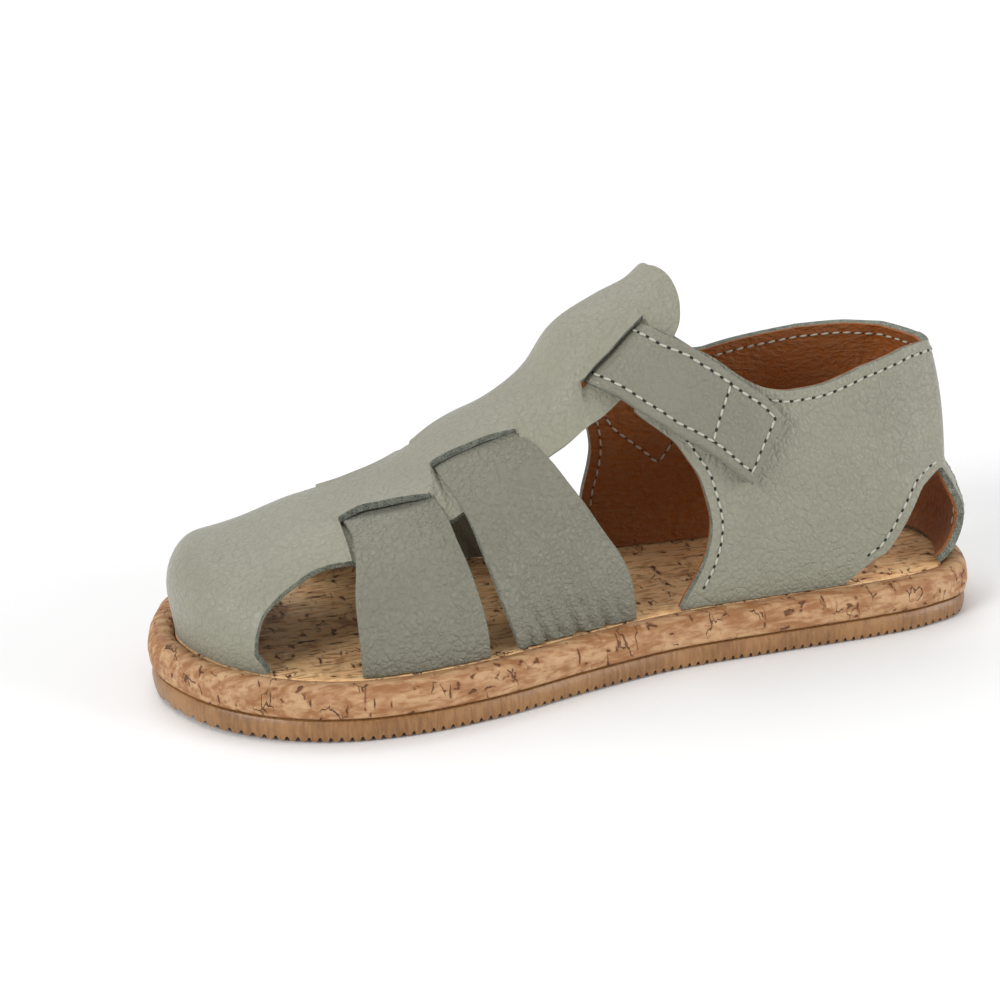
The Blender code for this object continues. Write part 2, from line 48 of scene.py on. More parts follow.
OUTSOLE_SIDE = (
    (0.0013, 0), (0.0008, 0.0003), (0.0006, 0.0011), (0.0004, 0.0026), (0.0006, 0.0041),
    (0.0009, 0.0046), (0.0013, OUTSOLE_THICKNESS),
)
RIB_PITCH = 0.0021
RIB_DEPTH = 0.0012
RIB_LAND = 0.0006
RIB_SHARP = 30
PLATE_SHARP = 40
TOE_SPRING = 0.0022
TOE_SPRING_START = 0.74
TREAD_SPRING = 0.3
FOOT = 0.0116
GAP = 0.0003
RUBBER_DEEP = (0.190, 0.085, 0.026, 1.0)
RUBBER_PALE = (0.310, 0.155, 0.054, 1.0)

# Columns: station (share of LENGTH from the heel), outer side, inner side (shares of BALL_WIDTH).
OUTLINE = (
    (0.03, 0.236, -0.222), (0.09, 0.312, -0.3), (0.17, 0.334, -0.338), (0.3, 0.336, -0.359),
    (0.42, 0.343, -0.381), (0.53, 0.392, -0.421), (0.64, 0.459, -0.475),
    (0.74, 0.484, -0.511), (0.83, 0.454, -0.516), (0.91, 0.356, -0.47),
    (0.97, 0.194, -0.333),
)
TOE_TIP_SIDE = -0.040
POINTS_PER_ROW = 20


def curve_points(rows, steps, closed=False):
    """A Catmull-Rom curve through the rows, with this many steps from each row to the next."""
    rows = np.asarray(rows, float)
    if closed:
        padded = np.vstack([rows[-1:], rows, rows[:2]])
    else:
        padded = np.vstack([2 * rows[0] - rows[1], rows, 2 * rows[-1] - rows[-2]])
    share = (np.arange(steps) / steps)[:, None]
    found = []
    for before, start, end, after in zip(padded, padded[1:], padded[2:], padded[3:]):
        slope, bend = end - before, 2 * before - 5 * start + 4 * end - after
        twist = 3 * start - before - 3 * end + after
        found.append(0.5 * (2 * start + slope * share + bend * share**2 + twist * share**3))
    if not closed:
        found.append(rows[-1:])
    return np.vstack(found)


def toe_lift(y, z):
    """The toe spring: how far a place at height z rises, the tread less than the insole."""
    start = LENGTH / 2 - TOE_SPRING_START * LENGTH
    share = np.clip((start - y) / (start + LENGTH / 2), 0, None)
    height = np.clip(np.asarray(z) / FOOT, 0, 1)
    return TOE_SPRING * share**2 * (TREAD_SPRING + (1 - TREAD_SPRING) * height)


def sole_outline():
    """The platform's outline, from the heel round the outer side to the toe and back."""
    outer = [(o * BALL_WIDTH, (0.5 - s) * LENGTH) for s, o, _ in OUTLINE]
    inner = [(i * BALL_WIDTH, (0.5 - s) * LENGTH) for s, _, i in OUTLINE]
    toe = (TOE_TIP_SIDE * BALL_WIDTH, -LENGTH / 2)
    return curve_points([(0, LENGTH / 2), *outer, toe, *inner[::-1]], POINTS_PER_ROW, True)


def outward(outline):
    """The outline's unit normals, facing out."""
    along = np.roll(outline, -1, 0) - np.roll(outline, 1, 0)
    along /= np.linalg.norm(along, axis=1)[:, None]
    return np.stack([-along[:, 1], along[:, 0]], 1)


SOLE = sole_outline()
SOLE_NORMALS = outward(SOLE)
HALF = len(SOLE) // 2


def new_finish(name, roughness, **sockets):
    """A finish and its shader, with the values that are the same all over."""
    made = bpy.data.materials.new(name)
    made.use_nodes = True
    shader = made.node_tree.nodes["Principled BSDF"]
    shader.inputs["Roughness"].default_value = roughness
    for socket, value in sockets.items():
        shader.inputs[socket.replace("_", " ")].default_value = value
    return made


def node(finish, kind, inputs, output=0, **settings):
    """Adds one node to a finish, fills its inputs, and returns the output asked for."""
    tree = finish.node_tree
    placed = tree.nodes.new("ShaderNode" + kind)
    for name, value in settings.items():
        setattr(placed, name, value)
    for socket, value in inputs.items():
        if isinstance(value, bpy.types.NodeSocket):
            tree.links.new(value, placed.inputs[socket])
        else:
            placed.inputs[socket].default_value = value
    return placed.outputs[output]


def place_on(finish, stretch=(1, 1, 1), turn=(0, 0, 0)):
    """The place on the sandal, in metres, stretched and turned."""
    here = node(finish, "TexCoord", {}, "Object")
    return node(finish, "Mapping", {"Vector": here, "Scale": stretch, "Rotation": turn})


def clouds(finish, place, size, detail=2.0):
    """Soft noise about 0.5, with clouds of about this size in metres."""
    return node(finish, "TexNoise", {"Vector": place, "Scale": 1 / size, "Detail": detail})


def rescale(finish, value, low, high, least=0.0, most=1.0):
    """Stretches low..high to least..most, and clips what lies outside."""
    ends = {"Value": value, "From Min": low, "From Max": high, "To Min": least, "To Max": most}
    return node(finish, "MapRange", ends)


def smooth_step(finish, value, low, high):
    """Like rescale to 0..1, but it starts and ends softly."""
    ends = {"Value": value, "From Min": low, "From Max": high}
    return node(finish, "MapRange", ends, interpolation_type="SMOOTHSTEP")


def maths(finish, operation, first, second):
    return node(finish, "Math", {0: first, 1: second}, operation=operation)


def weighted(finish, *parts):
    """The sum of some values, each times its weight."""
    products = [maths(finish, "MULTIPLY", value, weight) for value, weight in parts]
    total = products[0]
    for product in products[1:]:
        total = maths(finish, "ADD", total, product)
    return total


def mix(finish, share, first, second):
    """One colour over another, by share."""
    return node(finish, "Mix", {0: share, 6: first, 7: second}, 2, data_type="RGBA")


def wobble(finish, place, size, reach):
    """The place pushed about by soft noise, so that straight edges wander."""
    push = node(finish, "TexNoise", {"Vector": place, "Scale": 1 / size, "Detail": 2.0}, 1)
    push = node(finish, "VectorMath", {0: push, 1: (0.5, 0.5, 0.5)}, operation="SUBTRACT")
    push = node(finish, "VectorMath", {0: push, "Scale": reach}, operation="SCALE")
    return node(finish, "VectorMath", {0: place, 1: push}, operation="ADD")


def finish_with(finish, colour, height, depth, roughness=None):
    """Joins colour, relief and gloss to the finish's shader."""
    shader = finish.node_tree.nodes["Principled BSDF"]
    links = finish.node_tree.links
    links.new(colour, shader.inputs["Base Color"])
    relief = node(finish, "Bump", {"Height": height, "Distance": depth})
    links.new(relief, shader.inputs["Normal"])
    if roughness is not None:
        links.new(roughness, shader.inputs["Roughness"])


def gum_rubber():
    """Rubber in two close tones, buffed up and down along its side."""
    made = new_finish("gum_rubber", 0.42, Coat_Weight=0.12, Coat_Roughness=0.35)
    place = place_on(made)
    tone = clouds(made, place, 0.012, 3.0)
    skin = clouds(made, place, 0.0007, 4.0)
    buffed = clouds(made, place_on(made, (1.0, 1.0, 0.10)), 0.0007, 3.0)
    share = weighted(made, (tone, 0.5), (buffed, 0.5))
    colour = mix(made, rescale(made, share, 0.4, 0.6), RUBBER_DEEP, RUBBER_PALE)
    gloss = rescale(made, skin, 0.3, 0.7, 0.34, 0.52)
    finish_with(made, colour, skin, 0.00012, gloss)
    return made


def keep_crisp(mesh, sharp_degrees):
    mesh.shade_smooth()
    mesh.set_sharp_from_angle(angle=math.radians(sharp_degrees))


def smooth_mesh(shape, name, sharp_degrees):
    """Writes the shape as a smooth mesh that stays crisp at steeper edges."""
    bmesh.ops.recalc_face_normals(shape, faces=shape.faces)
    mesh = bpy.data.meshes.new(name)
    shape.to_mesh(mesh)
    shape.free()
    keep_crisp(mesh, sharp_degrees)
    return mesh


def new_piece(name, mesh, *finishes):
    made = bpy.data.objects.new(name, mesh)
    bpy.context.scene.collection.objects.link(made)
    for finish in finishes:
        mesh.materials.append(finish)
    return made


def stand_for(piece, solid):
    """The piece rides the one body and shows in place of this solid."""
    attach(piece, "root")
    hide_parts(solid)


def sole_plate(name, rings, swell=None):
    """A plate whose side follows the outline. rings are (inset, height), swell moves a point."""
    shape = bmesh.new()
    loops = []
    for inset, height in rings:
        plan = SOLE - SOLE_NORMALS * inset
        loop = []
        for (x, y), out in zip(plan, SOLE_NORMALS):
            point = Vector((x, y, height + float(toe_lift(y, height))))
            loop.append(shape.verts.new(swell(point, Vector((*out, 0))) if swell else point))
        loops.append(loop)
    count = len(SOLE)
    for lower, upper in zip(loops, loops[1:]):
        for i in range(count):
            j = (i + 1) % count
            shape.faces.new((lower[i], lower[j], upper[j], upper[i]))
    for loop in (loops[0], loops[-1]):
        for i in range(HALF):
            far, near = loop[(count - i - 1) % count], loop[(count - i) % count]
            shape.faces.new(list(dict.fromkeys([loop[i], loop[i + 1], far, near])))
    return smooth_mesh(shape, name, PLATE_SHARP)


def rib_comb():
    """The comb that leaves one rib on the tread for every pitch."""
    groove = ((0.0, -GAP / 2), (0.4, RIB_DEPTH), (0.6, RIB_DEPTH), (1.0, -GAP / 2))
    half_count = int(LENGTH / RIB_PITCH / 2) + 2
    profile = []
    for i in range(-half_count, half_count + 1):
        start = i * RIB_PITCH + RIB_LAND / 2
        profile += [(start + share * (RIB_PITCH - RIB_LAND), height) for share, height in groove]
    shape = bmesh.new()
    sides = []
    for x in (-BALL_WIDTH, BALL_WIDTH):
        upper = [shape.verts.new((x, y, z + toe_lift(y, z))) for y, z in profile]
        lower = [shape.verts.new((x, y, -OUTSOLE_THICKNESS)) for y, _ in profile]
        sides.append((upper, lower))
    for i in range(len(profile) - 1):
        for upper, lower in sides:
            shape.faces.new((upper[i], upper[i + 1], lower[i + 1], lower[i]))
        for row in (0, 1):
            near, far = sides[0][row], sides[1][row]
            shape.faces.new((near[i], near[i + 1], far[i + 1], far[i]))
    for end in (0, len(profile) - 1):
        (upper, lower), (far_upper, far_lower) = sides
        shape.faces.new((upper[end], lower[end], far_lower[end], far_upper[end]))
    return smooth_mesh(shape, "rib_comb", RIB_SHARP)


def cut_with(piece, cutter):
    """Cuts the piece with another one and keeps the cut mesh."""
    change = piece.modifiers.new("cut", "BOOLEAN")
    change.operation = "DIFFERENCE"
    change.object = cutter
    change.solver = "EXACT"
    change.material_mode = "TRANSFER"
    ready = piece.evaluated_get(bpy.context.evaluated_depsgraph_get())
    cut_mesh = bpy.data.meshes.new_from_object(ready)
    piece.modifiers.remove(change)
    piece.data = cut_mesh
    bpy.data.objects.remove(cutter)


RUBBER = gum_rubber()
outsole = new_piece("outsole_rubber", sole_plate("outsole_rubber", OUTSOLE_SIDE), RUBBER)
cut_with(outsole, new_piece("rib_comb", rib_comb(), RUBBER))
keep_crisp(outsole.data, RIB_SHARP)
stand_for(outsole, "outsole")


# Cork platform. A light midsole wrapped in sheet cork, which rolls over a rounded rim and dips to
# the bed inside. The wrap shows ticks of bark, pores and short cracks.
PLATFORM_HEIGHT = 0.0069
RIM_WIDTH = 0.0058
BED = 0.0097
RIM_PROFILE = (
    (0.17, 0), (0.06, 0.07), (0.03, 0.16), (0, 0.42), (0.05, 0.68), (0.24, 0.9), (0.55, 1),
    (0.87, 0.96), (1, 0.86),
)
CORK_PALE = (0.510, 0.315, 0.165, 1.0)
CORK_TAN = (0.310, 0.148, 0.060, 1.0)
CORK_RUST = (0.270, 0.105, 0.036, 1.0)
CORK_BARK = (0.105, 0.040, 0.016, 1.0)
BARK_SHARE = 0.36


def cells(finish, place, scale, output="Distance", feature="F1"):
    """Cells with this many to a metre: the distance from each one's middle or edge, or a colour."""
    return node(finish, "TexVoronoi", {"Vector": place, "Scale": scale}, output, feature=feature)


def cell_shades(finish, place, scale, channel):
    """One even random value for each cell."""
    colours = cells(finish, place, scale, "Color")
    return node(finish, "SeparateColor", {"Color": colours}, channel)


def sheet_cork(name, pale, tan, ticks, streaks):
    """Sheet cork: pale grains and rusty veins, dark ticks of bark, and a few wandering cracks.

    Each of ticks is a stretch, a turn and the channel that picks its cells."""
    made = new_finish(name, 0.62, Specular_IOR_Level=0.35)
    place = place_on(made)
    loose = wobble(made, place, 0.004, 0.003)
    tone = clouds(made, wobble(made, place_on(made, streaks), 0.006, 0.005), 0.0040, 5.0)
    colour = mix(made, rescale(made, tone, 0.4, 0.6), tan, pale)
    grains = cell_shades(made, loose, 520.0, 0)
    colour = mix(made, rescale(made, grains, 0.0, 1.0, 0.0, 0.30), colour, tan)
    fibres = clouds(made, wobble(made, place_on(made, streaks), 0.004, 0.0022), 0.0016, 3.0)
    colour = mix(made, rescale(made, fibres, 0.53, 0.64, 0.0, 0.60), colour, CORK_RUST)
    colour = mix(made, rescale(made, fibres, 0.48, 0.36, 0.0, 0.60), colour, pale)
    rust = clouds(made, wobble(made, place, 0.006, 0.008), 0.008, 3.0)
    colour = mix(made, rescale(made, rust, 0.56, 0.68, 0.0, 0.55), colour, CORK_RUST)
    bent = wobble(made, place_on(made, (1, 1.7, 0.8)), 0.0035, 0.0042)
    veins = cells(made, bent, 190.0, feature="DISTANCE_TO_EDGE")
    near_vein = rescale(made, veins, 0.012, 0.034, 1.0, 0.0)
    showing = rescale(made, clouds(made, place, 0.0060), 0.57, 0.62)
    dark = maths(made, "MULTIPLY", near_vein, showing)
    for stretch, turn, channel in ticks:
        spot = wobble(made, place_on(made, stretch, (0, 0, turn)), 0.8, 1.5)
        reach = cells(made, spot, 1.0)
        chosen = cell_shades(made, spot, 1.0, channel)
        chosen = rescale(made, chosen, 1 - BARK_SHARE, 1.02 - BARK_SHARE)
        tick = maths(made, "MULTIPLY", rescale(made, reach, 0.13, 0.20, 1.0, 0.0), chosen)
        halo = maths(made, "MULTIPLY", rescale(made, reach, 0.18, 0.42, 0.70, 0.0), chosen)
        colour = mix(made, halo, colour, CORK_RUST)
        dark = maths(made, "MAXIMUM", dark, tick)
    colour = mix(made, rescale(made, dark, 0.0, 1.0, 0.0, 0.90), colour, CORK_BARK)
    pores = clouds(made, place, 0.0006, 3.0)
    height = weighted(made, (dark, -1.5), (pores, 0.35), (fibres, 0.5), (tone, 0.5))
    gloss = rescale(made, tone, 0.3, 0.7, 0.70, 0.50)
    finish_with(made, colour, height, 0.00035, gloss)
    return made


def rim_lumps(point, out):
    """The cork isn't flat: it swells and sinks by a tenth of a millimetre or two."""
    soft = noise.noise(point * 130) * 0.00022
    fine = noise.noise(point * 520) * 0.00007
    return point + out * (soft + fine) + Vector((0, 0, (soft + fine) * 0.6))


base = OUTSOLE_THICKNESS + GAP
rim = curve_points([(w * RIM_WIDTH, base + h * PLATFORM_HEIGHT) for w, h in RIM_PROFILE], 4)
rings = [(RIM_WIDTH, base), *rim, (RIM_WIDTH + 0.0001, BED)]
RIM_TICKS = (((200, 620, 200), 0.1, 0), ((380, 260, 460), 0.5, 1))
RIM_CORK = sheet_cork("rim_cork", CORK_PALE, CORK_TAN, RIM_TICKS, (1.6, 0.45, 1.6))
platform = new_piece("cork_rim", sole_plate("cork_rim", rings, rim_lumps), RIM_CORK)
stand_for(platform, "cork_platform")


# Cork insole. A thin sheet of the same cork, cut to the bed and glued inside the rim. It lies flat
# under the foot, so its dashes of bark stay long and sharp.
INSOLE_TOP = 0.0113
INSOLE_ROUNDING = 0.0003
SEAM_INSET = RIM_WIDTH + GAP
INSOLE_PALE = (0.950, 0.640, 0.330, 1.0)
INSOLE_TAN = (0.850, 0.490, 0.230, 1.0)
INSOLE_TICKS = (((460, 170, 300), 0.35, 0), ((230, 480, 300), -0.4, 1))
INSOLE_CORK = sheet_cork("insole_cork", INSOLE_PALE, INSOLE_TAN, INSOLE_TICKS, (1.8, 0.4, 1.0))
insole_rings = (
    (SEAM_INSET, BED + GAP),
    (SEAM_INSET, INSOLE_TOP - INSOLE_ROUNDING),
    (SEAM_INSET + INSOLE_ROUNDING, INSOLE_TOP),
)
insole = new_piece("insole_cork", sole_plate("insole_cork", insole_rings), INSOLE_CORK)
stand_for(insole, "cork_insole")


# Toe piece and tongue. One piece of soft grained leather, drawn over the last and let into the
# seam inside the rim. Behind the toes it runs up the instep as a tongue, with slits for the two
# straps and for the ankle strap, and ends in a round tab.
INSTEP_HEIGHT = 0.0724
STRAP_WALL = 0.0017
SLIT_STEP = 0.0008
TOE_RADIUS = 0.014
HEEL_RADIUS = 0.030
TOE_BULGE = 0.0028
SIDE_BULGE = 0.0006
HEEL_BULGE = 0.0052
BULGE_HEIGHT = 0.024
LEATHER_SHARP = 50
CUT_ROUNDING = 0.00028
LEATHER_LIGHT = (0.289, 0.284, 0.212, 1.0)
LEATHER_DEEP = (0.262, 0.254, 0.189, 1.0)
EDGE_LIGHT = (0.270, 0.285, 0.235, 1.0)
EDGE_DYE_AND_VALLEY_SHADE = (0.055, 0.065, 0.050, 1.0)
SUEDE_GREY = (0.120, 0.118, 0.098, 1.0)

# Columns: station, ridge height (share of INSTEP_HEIGHT above the insole), ridge offset to the
# inner side (share of BALL_WIDTH), roundness of the outer side, of the inner side (1 is an
# ellipse, less is squarer).
LAST = (
    (0, 0.9, 0, 0.65, 0.65),
    (0.2, 1, 0.01, 0.64, 0.64),
    (0.33, 1.03, 0.035, 0.66, 0.66),
    (0.38, 1.03, 0.04, 0.75, 0.75),
    (0.42, 0.957, 0.04, 0.85, 0.88),
    (0.458, 0.905, 0.04, 0.95, 0.98),
    (0.508, 0.836, 0.042, 0.97, 1),
    (0.542, 0.73, 0.045, 0.95, 1),
    (0.584, 0.64, 0.05, 0.92, 1),
    (0.632, 0.57, 0.055, 0.88, 0.98),
    (0.66, 0.526, 0.057, 0.86, 0.97),
    (0.705, 0.445, 0.06, 0.85, 0.96),
    (0.753, 0.402, 0.062, 0.85, 0.95),
    (0.821, 0.365, 0.064, 0.85, 0.94),
    (0.889, 0.296, 0.064, 0.84, 0.92),
    (0.94, 0.284, 0.06, 0.82, 0.88),
    (1, 0.272, 0.055, 0.82, 0.82),
)

# Columns: station on the ridge, station at the edge, edge (share of the way
# from the ridge down to the insole), bend (how late the row turns to its edge), slit (share where
# the raised middle ends), level of the middle, level of the margin (shares of STRAP_WALL).
TOE_PIECE = (
    (1, 1, 1, 2, 0.4, 0, 0),
    (0.985, 0.985, 1, 2, 0.4, 0, 0),
    (0.97, 0.968, 1, 2, 0.4, 0, 0),
    (0.955, 0.948, 1, 3, 0.4, 0, 0),
    (0.944, 0.928, 1, 5, 0.4, 0, 0),
    (0.935, 0.908, 1, 7, 0.4, 0, 0),
    (0.929, 0.917, 0.93, 4, 0.39, 0, 0),
    (0.924, 0.916, 0.86, 3, 0.37, 0, 0),
    (0.917, 0.912, 0.77, 2, 0.35, 0, 0),
    (0.907, 0.905, 0.68, 2, 0.33, 0, 0),
    (0.893, 0.895, 0.61, 2, 0.31, 0, 0),
    (0.874, 0.878, 0.54, 2, 0.29, 0, 0),
    (0.856, 0.86, 0.495, 2, 0.27, 0, 0),
    (0.838, 0.84, 0.46, 2, 0.25, 0, 0),
    (0.818, 0.818, 0.445, 2, 0.23, 0, 0),
    (0.8, 0.8, 0.445, 2, 0.21, 0, 0),
    (0.79, 0.79, 0.445, 2, 0.2, 0, 0),
    (0.784, 0.784, 0.447, 2, 0.19, 0.41, -0.76),
    (0.76, 0.76, 0.455, 2, 0.165, 0.41, -0.76),
    (0.738, 0.738, 0.46, 2, 0.185, 0.41, -0.76),
    (0.713, 0.713, 0.465, 2, 0.212, 0.41, -0.76),
    (0.692, 0.692, 0.46, 2, 0.255, 0.41, -0.76),
    (0.679, 0.679, 0.455, 2, 0.29, 0.41, -0.76),
    (0.6725, 0.6725, 0.45, 2, 0.22, 0, 0),
    (0.667, 0.667, 0.45, 2, 0.15, 0.41, -0.76),
    (0.652, 0.652, 0.455, 2, 0.162, 0.41, -0.76),
    (0.63, 0.63, 0.46, 2, 0.195, 0.41, -0.76),
    (0.605, 0.605, 0.465, 2, 0.222, 0.41, -0.76),
    (0.586, 0.586, 0.467, 2, 0.252, 0.41, -0.76),
    (0.574, 0.574, 0.468, 2, 0.275, 0.41, -0.76),
    (0.566, 0.566, 0.47, 2, 0.29, 0, 0),
    (0.547, 0.547, 0.47, 2, 0.3, 0, 0),
    (0.528, 0.528, 0.482, 2, 0.315, 0, 0),
    (0.512, 0.512, 0.495, 2, 0.335, 0.1, 0),
    (0.502, 0.502, 0.5, 2, 0.35, 0.35, -0.1),
    (0.495, 0.495, 0.5, 2, 0.355, 0.7, -0.47),
    (0.488, 0.488, 0.5, 2, 0.348, 0.82, -0.47),
    (0.478, 0.478, 0.498, 2, 0.335, 0.82, -0.47),
    (0.458, 0.458, 0.482, 2, 0.315, 0.82, -0.47),
    (0.44, 0.438, 0.465, 2, 0.29, 0.82, -0.47),
    (0.424, 0.42, 0.45, 2, 0.268, 0.82, -0.47),
    (0.416, 0.413, 0.442, 2, 0.25, 0.4, -0.1),
    (0.407, 0.405, 0.427, 2, 0.23, 0.2, 0),
    (0.4, 0.399, 0.408, 2, 0.21, 0.1, 0),
    (0.395, 0.395, 0.386, 2, 0.19, 0, 0),
    (0.391, 0.392, 0.345, 2, 0.17, 0, 0),
    (0.3885, 0.389, 0.285, 2, 0.15, 0, 0),
    (0.3872, 0.3873, 0.2, 2, 0.12, 0, 0),
    (0.3868, 0.3867, 0.1, 2, 0.06, 0, 0),
)

# The tab's end reaches further back on the outer side, by this share of LENGTH over the whole side.
TAB_LEAN = 0.032
TAB_START = 0.424

SEAM = SOLE - SOLE_NORMALS * SEAM_INSET


def table(rows, column, at):
    """Reads one column of a table at these values of its first column."""
    rows = np.asarray(rows, float)
    order = rows[:, 0].argsort()
    return np.interp(at, rows[order, 0], rows[order, column])


LAST_CURVE = curve_points(LAST, 8)
STATIONS = np.array([0, *(row[0] for row in OUTLINE), 1])


def seam_at(station, side):
    """Place and normal of the upper's foot line, on the outer side for side above zero."""
    count = len(STATIONS) - 1
    place = np.interp(station, STATIONS, np.arange(count + 1)) * POINTS_PER_ROW
    index = np.where(side > 0, place, 2 * HALF - place) % (2 * HALF)
    low = np.floor(index).astype(int) % (2 * HALF)
    high = (low + 1) % (2 * HALF)
    part = (index - np.floor(index))[..., None]
    return [row[low] * (1 - part) + row[high] * part for row in (SEAM, SOLE_NORMALS)]


def last_surface(station, edge):
    """A point of the last. edge runs from 1 at the outer foot line, over 0, to -1 at the inner."""
    side = np.where(edge >= 0, 1.0, -1.0)
    foot, normal = seam_at(station, side)
    heel_end = SEAM[0, 1]
    toe_end = SEAM[HALF, 1]
    mean_y = (foot[..., 1] + seam_at(station, -side)[0][..., 1]) / 2
    from_heel = np.clip(heel_end - mean_y, 0, None)
    from_toe = np.clip(mean_y - toe_end, 0, None)
    heel_push = (from_heel**3 + HEEL_RADIUS**3) ** (1 / 3) - from_heel
    toe_push = (from_toe**3 + TOE_RADIUS**3) ** (1 / 3) - from_toe
    ridge_y = mean_y - heel_push + toe_push
    ridge_x = -table(LAST_CURVE, 2, station) * BALL_WIDTH
    outer = table(LAST_CURVE, 3, station)
    roundness = np.where(side > 0, outer, table(LAST_CURVE, 4, station))
    climb = np.clip(1 - np.abs(edge), 0, 1) * math.pi / 2
    inward = 1 - np.clip(np.cos(climb), 0, 1) ** roundness
    rise = np.clip(np.sin(climb), 0, 1) ** roundness
    x = foot[..., 0] + (ridge_x - foot[..., 0]) * inward
    y = foot[..., 1] + (ridge_y - foot[..., 1]) * inward
    ridge = table(LAST_CURVE, 1, 0.5 - y / LENGTH) * INSTEP_HEIGHT
    z = FOOT + ridge * rise
    heelward = np.clip(1 - station / 0.16, 0, 1) ** 0.7
    toeward = np.clip((station - 0.84) / 0.12, 0, 1)
    bulge = SIDE_BULGE + (HEEL_BULGE - SIDE_BULGE) * heelward + (TOE_BULGE - SIDE_BULGE) * toeward
    share = np.clip((z - FOOT) / BULGE_HEIGHT, 0, 1) ** (1 - 0.2 * heelward + 0.6 * toeward)
    bulge = bulge * np.sin(math.pi * share)
    x = x + normal[..., 0] * bulge
    y = y + normal[..., 1] * bulge
    return np.stack([x, y, z + toe_lift(y, z)], -1)


def on_last(station, edge, offset=0.0):
    """A point at this distance outside the last's surface, which is the leather's outer face."""
    station, edge, offset = np.broadcast_arrays(station, edge, offset)
    behind, ahead = (np.clip(station + step, 0, 1) for step in (-0.004, 0.004))
    below, above = (np.clip(edge + step, -1, 1) for step in (-0.004, 0.004))
    along = last_surface(ahead, edge) - last_surface(behind, edge)
    normal = np.cross(along, last_surface(station, above) - last_surface(station, below))
    normal = normal / np.maximum(np.linalg.norm(normal, axis=-1)[..., None], 1e-12)
    return last_surface(station, edge) + normal * offset[..., None]


def grained_leather(name, tone_and_painted_shade, grain_depth):
    """Full-grain leather: fine pebbles with soft creases between them, in a satin finish, with
    painted shade darkening the creases.
    """
    made = new_finish(name, 0.5, Specular_IOR_Level=0.45, Coat_Weight=0.08,
                      Coat_Roughness=0.42, Sheen_Weight=0.22, Sheen_Roughness=0.45)
    place = place_on(made)
    loose, looser = wobble(made, place, 0.0030, 0.0009), wobble(made, place, 0.0060, 0.0022)
    pebbles = cells(made, loose, 740.0, feature="DISTANCE_TO_EDGE")
    pebbles = smooth_step(made, pebbles, 0.0, 0.26)
    groups = cells(made, looser, 350.0, feature="DISTANCE_TO_EDGE")
    groups = smooth_step(made, groups, 0.0, 0.20)
    ruffles = clouds(made, place_on(made, (1.0, 1.5, 0.8)), 0.0032)
    tone = clouds(made, place, 0.020)
    pores = clouds(made, place, 0.00030)
    strength = rescale(made, clouds(made, place, 0.016, 1.0), 0.38, 0.62, 0.80, 1.0)
    grain = weighted(made, (pebbles, 0.60), (groups, 0.55))
    # Painted shade: each piece's copy of the one leather is scaled by its share, so that pieces in
    # less light are painted darker.
    light = tuple(c * tone_and_painted_shade for c in LEATHER_LIGHT[:3]) + (1.0,)
    deep = tuple(c * tone_and_painted_shade for c in LEATHER_DEEP[:3]) + (1.0,)
    colour = mix(made, rescale(made, tone, 0.3, 0.7), deep, light)
    # Painted shade: the colour darkens towards the creases between the pebbles.
    colour = mix(made, rescale(made, grain, 0.0, 0.6, 0.10, 0.0), colour, EDGE_DYE_AND_VALLEY_SHADE)
    height = weighted(made, (grain, strength), (pores, 0.08), (ruffles, 0.35))
    gloss = rescale(made, grain, 0.0, 1.2, 0.60, 0.45)
    finish_with(made, colour, height, grain_depth, gloss)
    return made


def cut_edge():
    """The fibres that show where the leather was cut, speckled with edge dye."""
    made = new_finish("cut_edge", 0.85)
    place = place_on(made)
    fibres = clouds(made, place, 0.00028, 4.0)
    patches = clouds(made, place, 0.0016)
    share = weighted(made, (fibres, 0.7), (patches, 0.3))
    colour = mix(made, rescale(made, share, 0.38, 0.60), EDGE_DYE_AND_VALLEY_SHADE, EDGE_LIGHT)
    finish_with(made, colour, fibres, 0.0003)
    return made


def flesh_side():
    """The suede-like underside of the straps."""
    made = new_finish("flesh_side", 0.95, Sheen_Weight=0.2)
    place = place_on(made)
    nap = clouds(made, place, 0.0005, 4.0)
    colour = mix(made, nap, SUEDE_GREY, LEATHER_DEEP)
    finish_with(made, colour, nap, 0.0003)
    return made


def leather_piece(name, outer, inner, finishes, missing=None, folded=False):
    """A closed wall between two grids: finish 0 outside, 1 inside, 2 on the cut edges.

    missing says which cells are left out as a slit. folded joins the first row's two halves."""
    rows, columns = outer.shape[:2]
    kept = np.ones((rows - 1, columns - 1), bool) if missing is None else ~missing
    if folded:
        inner[0] = (inner[0] + inner[0, ::-1]) / 2
    shape = bmesh.new()
    far, near = [[[shape.verts.new(p) for p in row] for row in grid] for grid in (outer, inner)]
    for i, j in zip(*np.nonzero(kept)):
        corners = ((i, j), (i, j + 1), (i + 1, j + 1), (i + 1, j))
        shape.faces.new([far[a][b] for a, b in corners])
        shape.faces.new([near[a][b] for a, b in corners]).material_index = 1
        beside = ((i - 1, j), (i, j + 1), (i + 1, j), (i, j - 1))
        for k, (a, b) in enumerate(beside):
            inside = 0 <= a < rows - 1 and 0 <= b < columns - 1 and kept[a, b]
            if inside or (folded and a < 0):
                continue
            (p, q), (r, s) = corners[k], corners[(k + 1) % 4]
            shape.faces.new((far[p][q], far[r][s], near[r][s], near[p][q])).material_index = 2
    loose = [v for v in shape.verts if not v.link_faces]
    bmesh.ops.delete(shape, geom=loose, context="VERTS")
    bmesh.ops.remove_doubles(shape, verts=shape.verts, dist=1e-6)
    bmesh.ops.dissolve_degenerate(shape, edges=shape.edges, dist=1e-6)
    return new_piece(name, smooth_mesh(shape, name, LEATHER_SHARP), *finishes)


def soften_edges(piece, width, segments=2):
    """Rounds the cut edges of a leather piece."""
    change = piece.modifiers.new("soft_edge", "BEVEL")
    change.width = width
    change.segments = segments
    change.limit_method = "ANGLE"
    change.angle_limit = math.radians(55)


RISE_REACH = 0.0045
SLIT_CURL = 1.6


